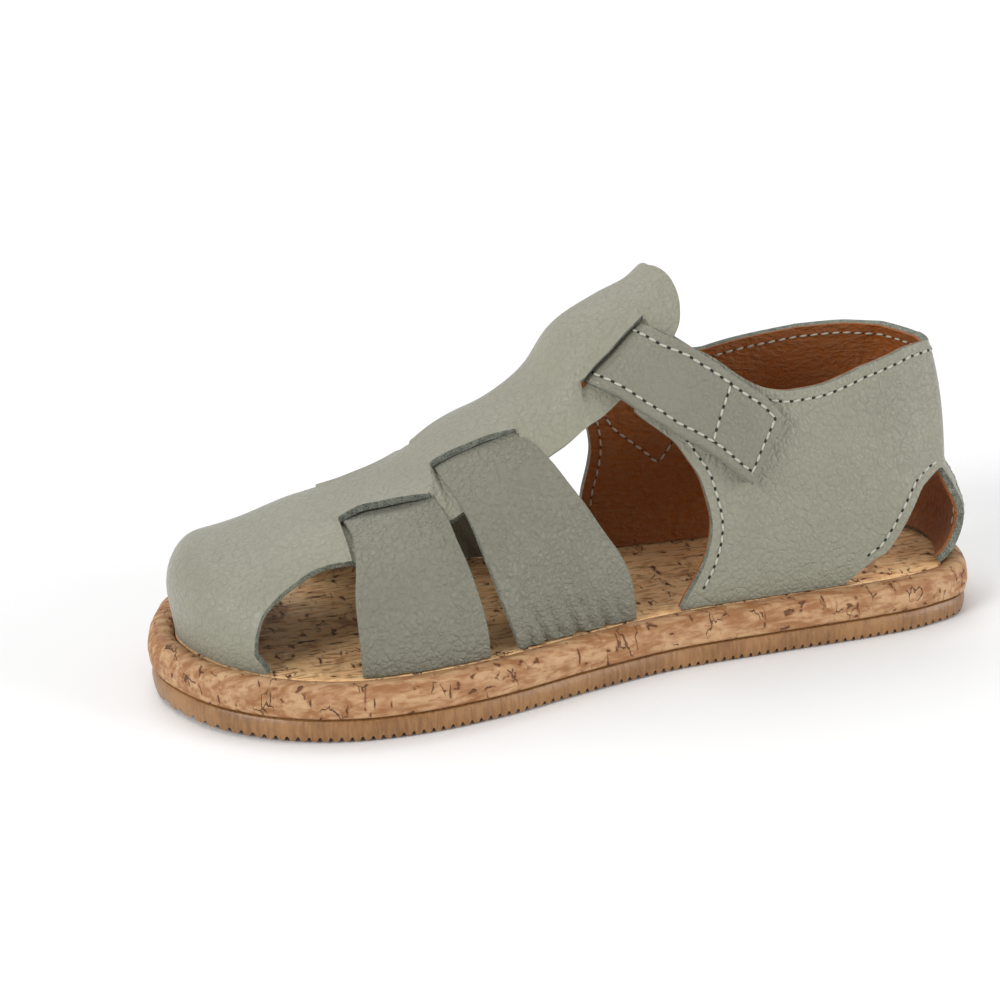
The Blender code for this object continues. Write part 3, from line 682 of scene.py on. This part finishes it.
def toe_piece_sheet(steps=3, inside_steps=14, outside_steps=24):
    """The toe piece and tongue as a grid of station, share and level, and its slits."""
    rows = curve_points(TOE_PIECE, steps)
    middle, edge_station, edge, bend, slit, high, low = (rows[:, i, None] for i in range(7))
    step = SLIT_STEP / (BALL_WIDTH / 2)
    inside = slit * np.linspace(0, 1, inside_steps)
    outside = slit + step + (edge - slit - step) * np.linspace(0, 1, outside_steps)
    share = np.hstack([inside, outside])
    open_row = (high - low)[:, 0] > 0.8
    run = rows[:, 0] * LENGTH
    near = np.exp(-(((run[:, None] - run[None]) / RISE_REACH) ** 2))
    rise = (near @ high) / near.sum(1, keepdims=True)
    dip = (near @ low) / near.sum(1, keepdims=True)
    curl = np.where(open_row[:, None], SLIT_CURL * np.clip(inside / slit - 0.55, 0, 1) ** 2, 0)
    spread = (outside - slit) / (edge - slit)
    closed = rise * (1 - spread) ** 2 + dip * spread * (2 - spread)
    outside_level = np.where(open_row[:, None], np.minimum(low, dip), closed)
    level = np.hstack([rise + curl, outside_level]) * STRAP_WALL
    station = middle + (edge_station - middle) * (share / edge) ** bend
    share = np.hstack([-share[:, :0:-1], share])
    level = np.hstack([level[:, :0:-1], level])
    station = np.hstack([station[:, :0:-1], station])
    lean = np.clip((TAB_START - middle) / (TAB_START - rows[-1, 0]), 0, 1)
    station = station - TAB_LEAN * lean * share
    slits = np.zeros((len(rows) - 1, share.shape[1] - 1), bool)
    centre = (share.shape[1] - 1) // 2
    for column in (centre + inside_steps - 1, centre - inside_steps):
        slits[:, column] = open_row[1:] & open_row[:-1]
    return station, share, level, slits


CUT_EDGE = cut_edge()
FLESH_SIDE = flesh_side()
# Painted shade: the toe piece's copy of the leather is painted at 0.89 of its colour.
toe_finishes = (grained_leather("toe_leather", 0.89, 0.00017), FLESH_SIDE, CUT_EDGE)
station, share, level, slits = toe_piece_sheet()
toe_outer = on_last(station, share, level)
toe_inner = on_last(station, share, level - STRAP_WALL)
toe_piece = leather_piece("toe_piece_tongue", toe_outer, toe_inner, toe_finishes, slits, True)
soften_edges(toe_piece, CUT_ROUNDING)
stand_for(toe_piece, "upper")


# Instep straps. Two wide bands of the same leather, unlined and with raw cut edges. Each rises
# from the seam, dives through the tongue's slits and comes down the other side, and the rear one
# is creased just above the sole.
# Columns: front edge's station and share, rear edge's station and share (1 at the insole, 0 on
# the ridge), level (share of STRAP_TUCK).
STRAP_TUCK = 0.0034
FRONT_STRAP = (
    (0.797, 1, 0.642, 1, 0),
    (0.797, 0.9, 0.645, 0.915, 0),
    (0.797, 0.79, 0.652, 0.8, 0),
    (0.795, 0.65, 0.659, 0.68, 0),
    (0.788, 0.52, 0.666, 0.56, 0),
    (0.783, 0.42, 0.67, 0.46, 0),
    (0.78, 0.33, 0.673, 0.4, 0),
    (0.781, 0.25, 0.676, 0.34, 0),
    (0.783, 0.2, 0.678, 0.3, -0.1),
    (0.784, 0.155, 0.679, 0.25, -0.35),
    (0.782, 0.08, 0.683, 0.13, -0.35),
    (0.78, 0, 0.685, 0, -0.35),
)

REAR_STRAP = (
    (0.603, 1, 0.456, 1, 0),
    (0.62, 0.88, 0.4625, 0.915, 0),
    (0.63, 0.78, 0.4745, 0.85, 0),
    (0.64, 0.665, 0.5, 0.75, 0),
    (0.647, 0.55, 0.525, 0.62, 0),
    (0.653, 0.45, 0.545, 0.48, 0),
    (0.66, 0.34, 0.556, 0.395, 0),
    (0.664, 0.24, 0.566, 0.32, 0),
    (0.666, 0.165, 0.573, 0.275, -0.1),
    (0.666, 0.125, 0.576, 0.235, -0.35),
    (0.665, 0.06, 0.58, 0.12, -0.35),
    (0.665, 0, 0.582, 0, -0.35),
)

# Columns: start and end of a crease (share of the strap's length from its outer foot, share of its
# width from the front edge), width and depth in metres.
REAR_CREASES = (
    (0, 0.1, 0.05, 0.14, 0.0009, 0.00072),
    (0, 0.24, 0.075, 0.22, 0.001, 0.00101),
    (0.008, 0.36, 0.105, 0.3, 0.0009, 0.00082),
    (0, 0.5, 0.09, 0.45, 0.0011, 0.0011),
    (0.012, 0.62, 0.12, 0.52, 0.0009, 0.00077),
    (0, 0.75, 0.085, 0.68, 0.001, 0.00096),
    (0.01, 0.88, 0.06, 0.84, 0.0009, 0.00072),
    (0.06, 0.58, 0.15, 0.66, 0.001, 0.00058),
    (0.05, 0.2, 0.13, 0.12, 0.001, 0.00053),
)
FRONT_CREASES = (
    (0, 0.3, 0.06, 0.34, 0.0012, 0.00029),
    (0, 0.66, 0.07, 0.6, 0.0012, 0.00026),
)


def strap_sheet(rows, depth, columns, steps):
    """A strap from its outer end over the ridge to its inner end, which mirrors the outer one."""
    outer = np.asarray(rows, float)
    both = np.vstack([outer, outer[-2::-1] * (1, -1, 1, -1, 1)])
    both = curve_points(both, steps)
    across = np.linspace(0, 1, columns)
    station = both[:, 0, None] + (both[:, 2] - both[:, 0])[:, None] * across
    share = both[:, 1, None] + (both[:, 3] - both[:, 1])[:, None] * across
    level = np.clip(both[:, 4, None], -1, 0) * depth + 0 * across
    return station, np.clip(share, -1, 1), level


def pressed_creases(grid, creases):
    """How deep the creases press each point of a strap's outer face, at both of its ends."""
    rows, columns = grid.shape[:2]
    middle = grid[:, columns // 2]
    run = np.r_[0, np.cumsum(np.linalg.norm(np.diff(middle, axis=0), axis=1))]
    width = np.linalg.norm(grid[0, -1] - grid[0, 0])
    depth = np.zeros((rows, columns))
    for start, start_side, end, end_side, size, deep in creases:
        for mirrored in (False, True):
            along = run[-1] - run if mirrored else run
            spot = np.stack(np.broadcast_arrays(
                along[:, None], np.linspace(0, width, columns)[None]), -1)
            a = np.array([start * run[-1], start_side * width])
            b = np.array([end * run[-1], end_side * width])
            part = np.clip(((spot - a) @ (b - a)) / ((b - a) @ (b - a)), 0, 1)
            away = np.linalg.norm(spot - a - part[..., None] * (b - a), axis=-1)
            fade = 1 - 0.75 * part**2
            depth += deep * fade * np.exp(-((away / size) ** 2))
    return depth


# Painted shade: the straps' copy of the same leather is painted darker, at 0.64 of its colour, for
# the less light that falls on them.
STRAP_FINISHES = (grained_leather("strap_leather", 0.64, 0.00032), FLESH_SIDE, CUT_EDGE)


def make_strap(name, rows, creases):
    station, share, level = strap_sheet(rows, STRAP_TUCK, columns=45, steps=12)
    outer = on_last(station, share, level)
    pressed = pressed_creases(outer, creases)
    outer = on_last(station, share, level - pressed)
    inner = on_last(station, share, level - STRAP_WALL - 0.5 * pressed)
    strap = leather_piece(name, outer, inner, STRAP_FINISHES)
    soften_edges(strap, CUT_ROUNDING)
    stand_for(strap, "upper")


make_strap("front_strap", FRONT_STRAP, FRONT_CREASES)
make_strap("rear_strap", REAR_STRAP, REAR_CREASES)


# Quarter. Grey leather outside and smooth brown leather inside, glued back to back, trimmed
# together and stitched round the collar, the front edges and the two openings by the heel.
OUTER_WALL = 0.0016
LINING_WALL = 0.0006
QUARTER_ROUNDING = 0.00022
BLOCK_REACH = (-0.005, 0.006)
# The lining's own brown, set darker as painted shade for the soft shadow on the far wall inside the
# heel.
LINING_BROWN = (0.280, 0.079, 0.011, 1.0)
LINING_DEEP = (0.190, 0.048, 0.006, 1.0)
LINING_EDGE = (0.270, 0.108, 0.040, 1.0)

# Collar. Columns: station, share of the top edge on the outer side, on the inner side.
COLLAR = (
    (0, 0.54, 0.543), (0.05, 0.525, 0.554), (0.1, 0.55, 0.567), (0.14, 0.579, 0.583),
    (0.18, 0.613, 0.603), (0.22, 0.643, 0.623), (0.25, 0.662, 0.638), (0.28, 0.67, 0.654),
    (0.3, 0.671, 0.664), (0.325, 0.656, 0.657), (0.345, 0.62, 0.622), (0.36, 0.56, 0.57),
    (0.375, 0.505, 0.515), (0.39, 0.475, 0.485), (0.41, 0.468, 0.475), (0.43, 0.478, 0.48),
    (0.443, 0.5, 0.5), (0.45, 0.54, 0.54),
)
# Columns: share, station of the front edge on the outer side, on the inner side.
QUARTER_FRONT = (
    (1, 0.402, 0.45), (0.985, 0.392, 0.449), (0.97, 0.382, 0.448), (0.955, 0.374, 0.448),
    (0.93, 0.367, 0.448), (0.9, 0.365, 0.447), (0.86, 0.37, 0.444), (0.81, 0.378, 0.438),
    (0.76, 0.39, 0.436), (0.69, 0.405, 0.442), (0.615, 0.425, 0.455), (0.54, 0.443, 0.467),
    (0.45, 0.455, 0.476),
)
# Heel opening. Columns: station, share.
HEEL_OPENING = (
    (0.2, 1), (0.188, 0.998), (0.172, 0.994), (0.158, 0.988), (0.145, 0.98), (0.128, 0.955),
    (0.107, 0.922), (0.088, 0.897), (0.07, 0.88), (0.055, 0.873), (0.043, 0.88),
    (0.033, 0.905), (0.026, 0.94), (0.023, 0.97), (0.025, 0.988), (0.032, 0.997), (0.04, 1),
)


def lining_leather(name, light, deep):
    """Smooth aniline lining, with fine soft wrinkles that run down from the collar, painted darker
    in their hollows and lighter on their ridges as painted shade and highlight.
    """
    made = new_finish(name, 0.55, Specular_IOR_Level=0.25)
    wrinkled = wobble(made, place_on(made, (1.0, 0.55, 1.15), (0.25, 0, 0)), 0.003, 0.003)
    wrinkles = clouds(made, wrinkled, 0.0011, 3.0)
    tone = clouds(made, place_on(made), 0.016, 3.0)
    # Painted shade and highlight: the wrinkles' height also darkens the colour in their hollows and
    # lightens it on their ridges.
    share = weighted(made, (tone, 0.4), (wrinkles, 0.6))
    colour = mix(made, rescale(made, share, 0.38, 0.62), deep, light)
    finish_with(made, colour, wrinkles, 0.00080, rescale(made, wrinkles, 0.3, 0.7, 0.58, 0.44))
    return made


def quarter_sheet(columns=221, rows=37):
    """The heel piece, from one front edge round the heel to the other."""
    count = len(STATIONS) - 1
    front_station = COLLAR[-1][0]
    reach = np.interp(front_station, STATIONS, np.arange(count + 1))
    place = np.linspace(-reach, reach, columns)
    base = np.interp(np.abs(place), np.arange(count + 1), STATIONS)
    side = np.where(place >= 0, 1.0, -1.0)
    collar = curve_points(COLLAR, 8)
    top = np.where(side > 0, table(collar, 1, base), table(collar, 2, base))
    climb = np.linspace(0, 1, rows)[:, None] ** 1.5
    share = 1 - (1 - top) * climb
    front = curve_points(QUARTER_FRONT, 8)
    reach = np.where(side > 0, table(front, 1, share), table(front, 2, share))
    return base * reach / front_station, share * side


def opening_block(side, finish):
    """A block through the quarter's wall in the shape of one heel opening."""
    boundary = curve_points(HEEL_OPENING, 6)
    loops = []
    shape = bmesh.new()
    for offset in BLOCK_REACH:
        loop = on_last(boundary[:, 0], np.clip(boundary[:, 1], 0, 1) * side, offset)
        loop[[0, -1], 2] -= PLATFORM_HEIGHT
        loops.append([shape.verts.new(p) for p in loop])
    near, far = loops
    for i in range(len(near)):
        j = (i + 1) % len(near)
        shape.faces.new((near[i], near[j], far[j], far[i]))
    shape.faces.new(near)
    shape.faces.new(far)
    bmesh.ops.triangulate(shape, faces=shape.faces)
    return new_piece("opening_block", smooth_mesh(shape, "opening_block", 40), finish)


def make_quarter_layer(name, top_level, wall, finishes):
    station, share = quarter_sheet()
    outer = on_last(station, share, top_level)
    inner = on_last(station, share, top_level - wall)
    layer = leather_piece(name, outer, inner, finishes)
    for side in (1, -1):
        cut_with(layer, opening_block(side, finishes[2]))
    keep_crisp(layer.data, LEATHER_SHARP)
    soften_edges(layer, QUARTER_ROUNDING)
    stand_for(layer, "quarter")


BROWN_LINING = lining_leather("brown_lining", LINING_BROWN, LINING_DEEP)
BROWN_EDGE = lining_leather("brown_edge", LINING_EDGE, LINING_BROWN)
# Painted shade: the quarter's copy of the leather is painted at 0.85 of its colour.
outer_finishes = (grained_leather("quarter_leather", 0.85, 0.00021), FLESH_SIDE, CUT_EDGE)
lining_finishes = (BROWN_LINING, BROWN_LINING, BROWN_EDGE)
make_quarter_layer("quarter_leather", 0.0, OUTER_WALL, outer_finishes)
make_quarter_layer("quarter_lining", -OUTER_WALL, LINING_WALL, lining_finishes)


# Ankle strap. Two layers of leather with a thin filler between, so it feels padded. It comes from
# the inner side of the quarter, through the tongue's slots, and its squared end lies over the
# outer side of the quarter, where a hidden patch holds it.
ANKLE_STRAP_WALL = 0.0026
STRAP_DIP = 0.0035

# Columns: lower edge's station and share, upper edge's station and share, level (share of
# STRAP_DIP).
ANKLE_STRAP = (
    (0.32, 0.86, 0.278, 0.735, 0),
    (0.336, 0.838, 0.3, 0.68, 0),
    (0.355, 0.8, 0.322, 0.64, 0),
    (0.378, 0.745, 0.345, 0.592, 0),
    (0.4, 0.685, 0.366, 0.535, 0),
    (0.42, 0.615, 0.384, 0.47, 0),
    (0.44, 0.545, 0.397, 0.415, 0),
    (0.458, 0.48, 0.407, 0.365, -0.05),
    (0.475, 0.425, 0.415, 0.32, -0.25),
    (0.488, 0.378, 0.42, 0.288, -0.6),
    (0.493, 0.34, 0.424, 0.25, -1),
    (0.496, 0.27, 0.428, 0.18, -1),
    (0.498, 0.14, 0.432, 0.09, -1),
    (0.498, 0, 0.433, 0, -1),
)
PAD_ROUND = 0.00075
PAD_EDGE = 0.0018
PAD_ROUNDING = 0.00035
STITCH_INSET = 0.0023
SEAM_DIP = 0.00022
SEAM_SPREAD = 0.0009


def across_distance(grid):
    """Each point's distance from the nearer long edge of a strap."""
    run = np.cumsum(np.linalg.norm(np.diff(grid, axis=1), axis=2), axis=1)
    run = np.hstack([np.zeros((len(grid), 1)), run])
    return np.minimum(run, run[:, -1:] - run)


def padded_level(grid):
    """How far a padded strap's face falls towards its edges and along its stitching."""
    edge = across_distance(grid)
    run = np.r_[0, np.cumsum(np.linalg.norm(np.diff(grid[:, grid.shape[1] // 2], axis=0), axis=1))]
    end = np.minimum(run, run[-1] - run)[:, None]
    edge = np.minimum(edge, end)
    near = np.clip(1 - edge / PAD_EDGE, 0, 1)
    fall = PAD_ROUND * (1 - np.sqrt(1 - near**2 * 0.98))
    return -fall - SEAM_DIP * np.exp(-(((edge - STITCH_INSET) / SEAM_SPREAD) ** 2))


# Painted shade: the ankle strap's copy of the leather is painted darker, at 0.68 of its colour.
ANKLE_LEATHER = grained_leather("ankle_leather", 0.68, 0.00018)
station, share, level = strap_sheet(ANKLE_STRAP, STRAP_DIP, columns=41, steps=10)
strap_flat = on_last(station, share, level + GAP + ANKLE_STRAP_WALL)
strap_level = level + GAP + ANKLE_STRAP_WALL + padded_level(strap_flat)
strap_outer = on_last(station, share, strap_level)
strap_inner = on_last(station, share, level + GAP - padded_level(strap_flat) * 0.3)
strap_finishes = (ANKLE_LEATHER, ANKLE_LEATHER, CUT_EDGE)
ankle_strap = leather_piece("ankle_strap_padded", strap_outer, strap_inner, strap_finishes)
soften_edges(ankle_strap, PAD_ROUNDING, 3)
stand_for(ankle_strap, "ankle_strap")


# Stitching. Off-white bonded thread, lockstitched at about 2.6 mm. Each stitch lies slightly sunk
# in the leather, between two small near-black beads that paint the shade inside its needle holes.
STITCH_PITCH = 0.0026
STITCH_LENGTH = 0.0018
STITCH_WIDTH = 0.00058
STITCH_RISE = 0.00022
HOLE_SIZE = np.array((0.00095, 0.00070, 0.00030))
HOLE_SINK = 0.00002
THREAD_SLANT = 0.10
THREAD_WHITE = (0.490, 0.478, 0.400, 1.0)
THREAD_SHADE = (0.370, 0.355, 0.290, 1.0)
HOLE_SHADE = (0.018, 0.018, 0.014, 1.0)
HOLE_DEEP_SHADE = (0.008, 0.008, 0.006, 1.0)
INSIDE_HOLE_SHARE = 0.6
OPENING_INSET = 0.0022
LOWEST_STITCH = 0.985
NEAR_BORDER = 0.93
SMALL_STEP = 0.0004


def bonded_thread():
    made = new_finish("bonded_thread", 0.6, Sheen_Weight=0.1)
    strands = clouds(made, place_on(made), 0.00025)
    colour = mix(made, rescale(made, strands, 0.4, 0.6), THREAD_SHADE, THREAD_WHITE)
    finish_with(made, colour, strands, 0.0001)
    return made


# Painted shade: a near-black finish for the beads that stand in for the shadow inside each needle
# hole.
def needle_hole_shade():
    made = new_finish("needle_hole_shade", 0.9)
    shade = clouds(made, place_on(made), 0.0003, 1.0)
    finish_with(made, mix(made, shade, HOLE_SHADE, HOLE_DEEP_SHADE), shade, 0.0001)
    return made


def add_bead(shape, centre, along, up, size, index):
    """A small rounded bead, size is its length, width and height."""
    side = up.cross(along).normalized()
    up = along.cross(side).normalized()
    frame_axes = Matrix((along * size[0] / 2, side * size[1] / 2, up * size[2] / 2)).transposed()
    spot = Matrix.Translation(centre) @ frame_axes.to_4x4()
    before = len(shape.faces)
    bmesh.ops.create_uvsphere(shape, u_segments=8, v_segments=6, radius=1.0,
                              matrix=spot @ Matrix.Rotation(math.pi / 2, 4, "Y"))
    shape.faces.ensure_lookup_table()
    for face in shape.faces[before:]:
        face.material_index = index


def stitch_row(name, points, normals, hole_share=1.0):
    """Stitches, and near-black beads as painted shade in their needle holes, along a line of
    points.
    """
    run = np.r_[0, np.cumsum(np.linalg.norm(np.diff(points, axis=0), axis=1))]
    count = max(1, int(round(run[-1] / STITCH_PITCH)))
    pitch = run[-1] / count
    length = STITCH_LENGTH * pitch / STITCH_PITCH
    shape = bmesh.new()

    def at(distance):
        point = [np.interp(distance, run, points[:, k]) for k in range(3)]
        up = [np.interp(distance, run, normals[:, k]) for k in range(3)]
        return Vector(point), Vector(up).normalized()

    for k in range(count + 1):
        hole, up = at(k * pitch)
        after, before = min(k * pitch + SMALL_STEP, run[-1]), max(k * pitch - SMALL_STEP, 0)
        ahead = (at(after)[0] - at(before)[0]).normalized()
        # A near-black bead at each needle hole, as painted shade.
        add_bead(shape, hole - up * HOLE_SINK, ahead, up, HOLE_SIZE * hole_share, 1)
        if k == count:
            break
        middle, up = at((k + 0.5) * pitch)
        start, _ = at(k * pitch + (pitch - length) / 2)
        end, _ = at((k + 1) * pitch - (pitch - length) / 2)
        ahead = (end - start).normalized()
        slant = (ahead + up.cross(ahead) * THREAD_SLANT).normalized()
        add_bead(shape, middle + up * STITCH_RISE * 0.35, slant, up,
                 (length, STITCH_WIDTH, STITCH_RISE * 2), 0)
    row = new_piece(name, smooth_mesh(shape, name, 80), BONDED_THREAD, NEEDLE_HOLE_SHADE)
    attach(row, "root")


def inset_path(path, distance):
    """A path of (station, share) moved to its left over the last, less what a corner folds back."""
    station, share = np.asarray(path, float).T
    step = 1e-4
    ahead, behind = np.clip(station + step, 0, 1), np.clip(station - step, 0, 1)
    along = on_last(ahead, share) - on_last(behind, share)
    along /= (ahead - behind)[:, None]
    across = (on_last(station, share + step) - on_last(station, share - step)) / (2 * step)
    here = on_last(station, share)
    left = np.cross(np.cross(along, across), np.gradient(here, axis=0))
    left *= distance / np.linalg.norm(left, axis=1)[:, None]
    shift = np.linalg.pinv(np.stack([along, across], -1)) @ left[..., None]
    moved = np.stack([station, share], 1) + shift[..., 0]
    moved = np.where(moved[:, :1] < 0, -moved, moved)
    found = on_last(moved[:, 0], moved[:, 1])
    nearest = np.linalg.norm(found[:, None] - here[None], axis=2).min(1)
    return moved[nearest > NEAR_BORDER * abs(distance)]


def line_on_last(path, level):
    """Points and normals of a path on the leather, at this level."""
    station, share = path.T
    points = on_last(station, share, level)
    normals = on_last(station, share, level + SMALL_STEP) - points
    return points, normals / np.linalg.norm(normals, axis=1)[:, None]


def grid_line(grid, lifted, rows, columns):
    """Points and normals along a line that is given in a grid's own rows and columns."""
    row = np.clip(np.floor(rows).astype(int), 0, len(grid) - 2)
    column = np.clip(np.floor(columns).astype(int), 0, grid.shape[1] - 2)
    down, right = (rows - row)[:, None], (columns - column)[:, None]

    def pick(values):
        above = values[row, column] * (1 - right) + values[row, column + 1] * right
        below = values[row + 1, column] * (1 - right) + values[row + 1, column + 1] * right
        return above * (1 - down) + below * down

    points = pick(grid)
    normals = pick(lifted) - points
    return points, normals / np.linalg.norm(normals, axis=1)[:, None]


BONDED_THREAD = bonded_thread()
NEEDLE_HOLE_SHADE = needle_hole_shade()


def sew_inside(name, path):
    """The stitches of a path where they come through the lining."""
    points, normals = line_on_last(path, -OUTER_WALL - LINING_WALL)
    stitch_row(name, points, -normals, INSIDE_HOLE_SHARE)


def sew_border(name, border, inset):
    """Stitches beside a border of the quarter, on both faces. They stop just above the insole."""
    path = inset_path(border, inset)
    path = path[np.abs(path[:, 1]) < LOWEST_STITCH]
    stitch_row(name, *line_on_last(path, 0.0))
    sew_inside(name + "_inside", path)


grid = np.stack(quarter_sheet(), -1)
sew_border("quarter_stitches", np.vstack([grid[:-1, 0], grid[-1], grid[-2::-1, -1]]), STITCH_INSET)
for side, side_name in ((1, "outer"), (-1, "inner")):
    opening = curve_points(HEEL_OPENING, 6) * (1, side)
    sew_border(f"opening_stitches_{side_name}", opening, OPENING_INSET * side)

# The ankle strap is sewn round its edges as far as the tongue's slots, and across it a box's
# length from each end.
strap_lift = on_last(station, share, strap_level + SMALL_STEP)
width_run = np.linalg.norm(strap_flat[:, -1] - strap_flat[:, 0], axis=1)
side_column = STITCH_INSET / width_run * (strap_flat.shape[1] - 1)
middle = strap_flat[:, strap_flat.shape[1] // 2]
length_run = np.r_[0, np.cumsum(np.linalg.norm(np.diff(middle, axis=0), axis=1))]
BOX_LENGTH = 0.0150
SLOT_REACH = 0.0615


def strap_rows(distances, mirrored):
    rows = np.interp(distances, length_run, np.arange(len(length_run)))
    return len(length_run) - 1 - rows if mirrored else rows


def strap_columns(rows, far_edge):
    columns = np.interp(rows, np.arange(len(side_column)), side_column)
    return strap_flat.shape[1] - 1 - columns if far_edge else columns


for mirrored, side_name in ((False, "outer"), (True, "inner")):
    along = strap_rows(np.linspace(SLOT_REACH, STITCH_INSET, 120), mirrored)
    end_row = np.full(30, along[-1])
    first_edge, second_edge = strap_columns(along, False), strap_columns(along, True)
    end_columns = np.linspace(first_edge[-1], second_edge[-1], 30)
    rows = np.r_[along, end_row, along[::-1]]
    columns = np.r_[first_edge, end_columns, second_edge[::-1]]
    stitch_row(f"strap_stitches_{side_name}", *grid_line(strap_outer, strap_lift, rows, columns))
    box = strap_rows(np.full(30, BOX_LENGTH), mirrored)
    columns = np.linspace(strap_columns(box[:1], False)[0], strap_columns(box[:1], True)[0], 30)
    stitch_row(f"strap_box_{side_name}", *grid_line(strap_outer, strap_lift, box, columns))

# Where the strap is sewn to the inner side, its stitches come through the lining. Columns:
# station, share.
SEWN_THROUGH = (
    (0.432, -0.64), (0.411, -0.75), (0.387, -0.828), (0.366, -0.876), (0.351, -0.902),
    (0.336, -0.882), (0.318, -0.845),
)
sew_inside("strap_stitches_lining", curve_points(SEWN_THROUGH, 8))


# Studio. A wide pale floor under plain soft light from the left, the right and above, in a bright
# even room.
FLOOR_WHITE = (0.90, 0.90, 0.90, 1.0)
FLOOR_PALE = (0.93, 0.93, 0.93, 1.0)
FLOOR_SIZE = 60.0
FLOOR_DROP = 0.0002
ROOM_LIGHT = 0.50
LIGHTS = (
    # name, direction it comes from, strength, softness in degrees
    ("left_light", (0.40, -0.80, 0.45), 1.8, 25),
    ("right_light", (0.50, 0.80, 0.22), 1.7, 35),
    ("top_light", (-0.45, -0.15, 0.9), 1.1, 50),
)


def studio_white():
    made = new_finish("studio_white", 0.9)
    haze = clouds(made, place_on(made), 0.6, 1.0)
    finish_with(made, mix(made, haze, FLOOR_WHITE, FLOOR_PALE), haze, 0.0001)
    return made


floor_shape = bmesh.new()
bmesh.ops.create_grid(floor_shape, x_segments=1, y_segments=1, size=FLOOR_SIZE / 2)
floor = new_piece("studio_floor", smooth_mesh(floor_shape, "studio_floor", 40), studio_white())
floor.location.z = -FLOOR_DROP

room = bpy.data.worlds.new("room")
room.use_nodes = True
room.node_tree.nodes["Background"].inputs["Color"].default_value = (1.0, 1.0, 1.0, 1.0)
room.node_tree.nodes["Background"].inputs["Strength"].default_value = ROOM_LIGHT
bpy.context.scene.world = room
for name, source, strength, softness in LIGHTS:
    light = bpy.data.lights.new(name, "SUN")
    light.energy = strength
    light.angle = math.radians(softness)
    lamp = bpy.data.objects.new(name, light)
    lamp.rotation_euler = (-Vector(source)).to_track_quat("-Z", "Y").to_euler()
    bpy.context.scene.collection.objects.link(lamp)
bpy.context.scene.view_settings.view_transform = "Standard"


# Camera. A long lens at the picture's angle: from the outer side, a little towards the toe, and
# looking down.
AZIMUTH = math.radians(72.138)
ELEVATION = math.radians(20.858)
ROLL = math.radians(-1.229)
DISTANCE = 0.45
AIM = (0.0, 0.0, 0.025)
FOCAL_LENGTH = 72.165
SENSOR_WIDTH = 36.0
SHIFT = (-0.0736, 0.0336)
CLIP = (0.01, 50.0)
lens = bpy.data.cameras.new("camera")
lens.lens = FOCAL_LENGTH
lens.sensor_width = SENSOR_WIDTH
lens.shift_x, lens.shift_y = SHIFT
lens.clip_start, lens.clip_end = CLIP
camera = bpy.data.objects.new("camera", lens)
turned = (
    Matrix.Rotation(AZIMUTH, 4, "Z")
    @ Matrix.Rotation(math.pi / 2 - ELEVATION, 4, "X")
    @ Matrix.Rotation(ROLL, 4, "Z")
)
camera.matrix_world = Matrix.Translation(AIM) @ turned @ Matrix.Translation((0, 0, DISTANCE))
bpy.context.scene.collection.objects.link(camera)
bpy.context.scene.camera = camera
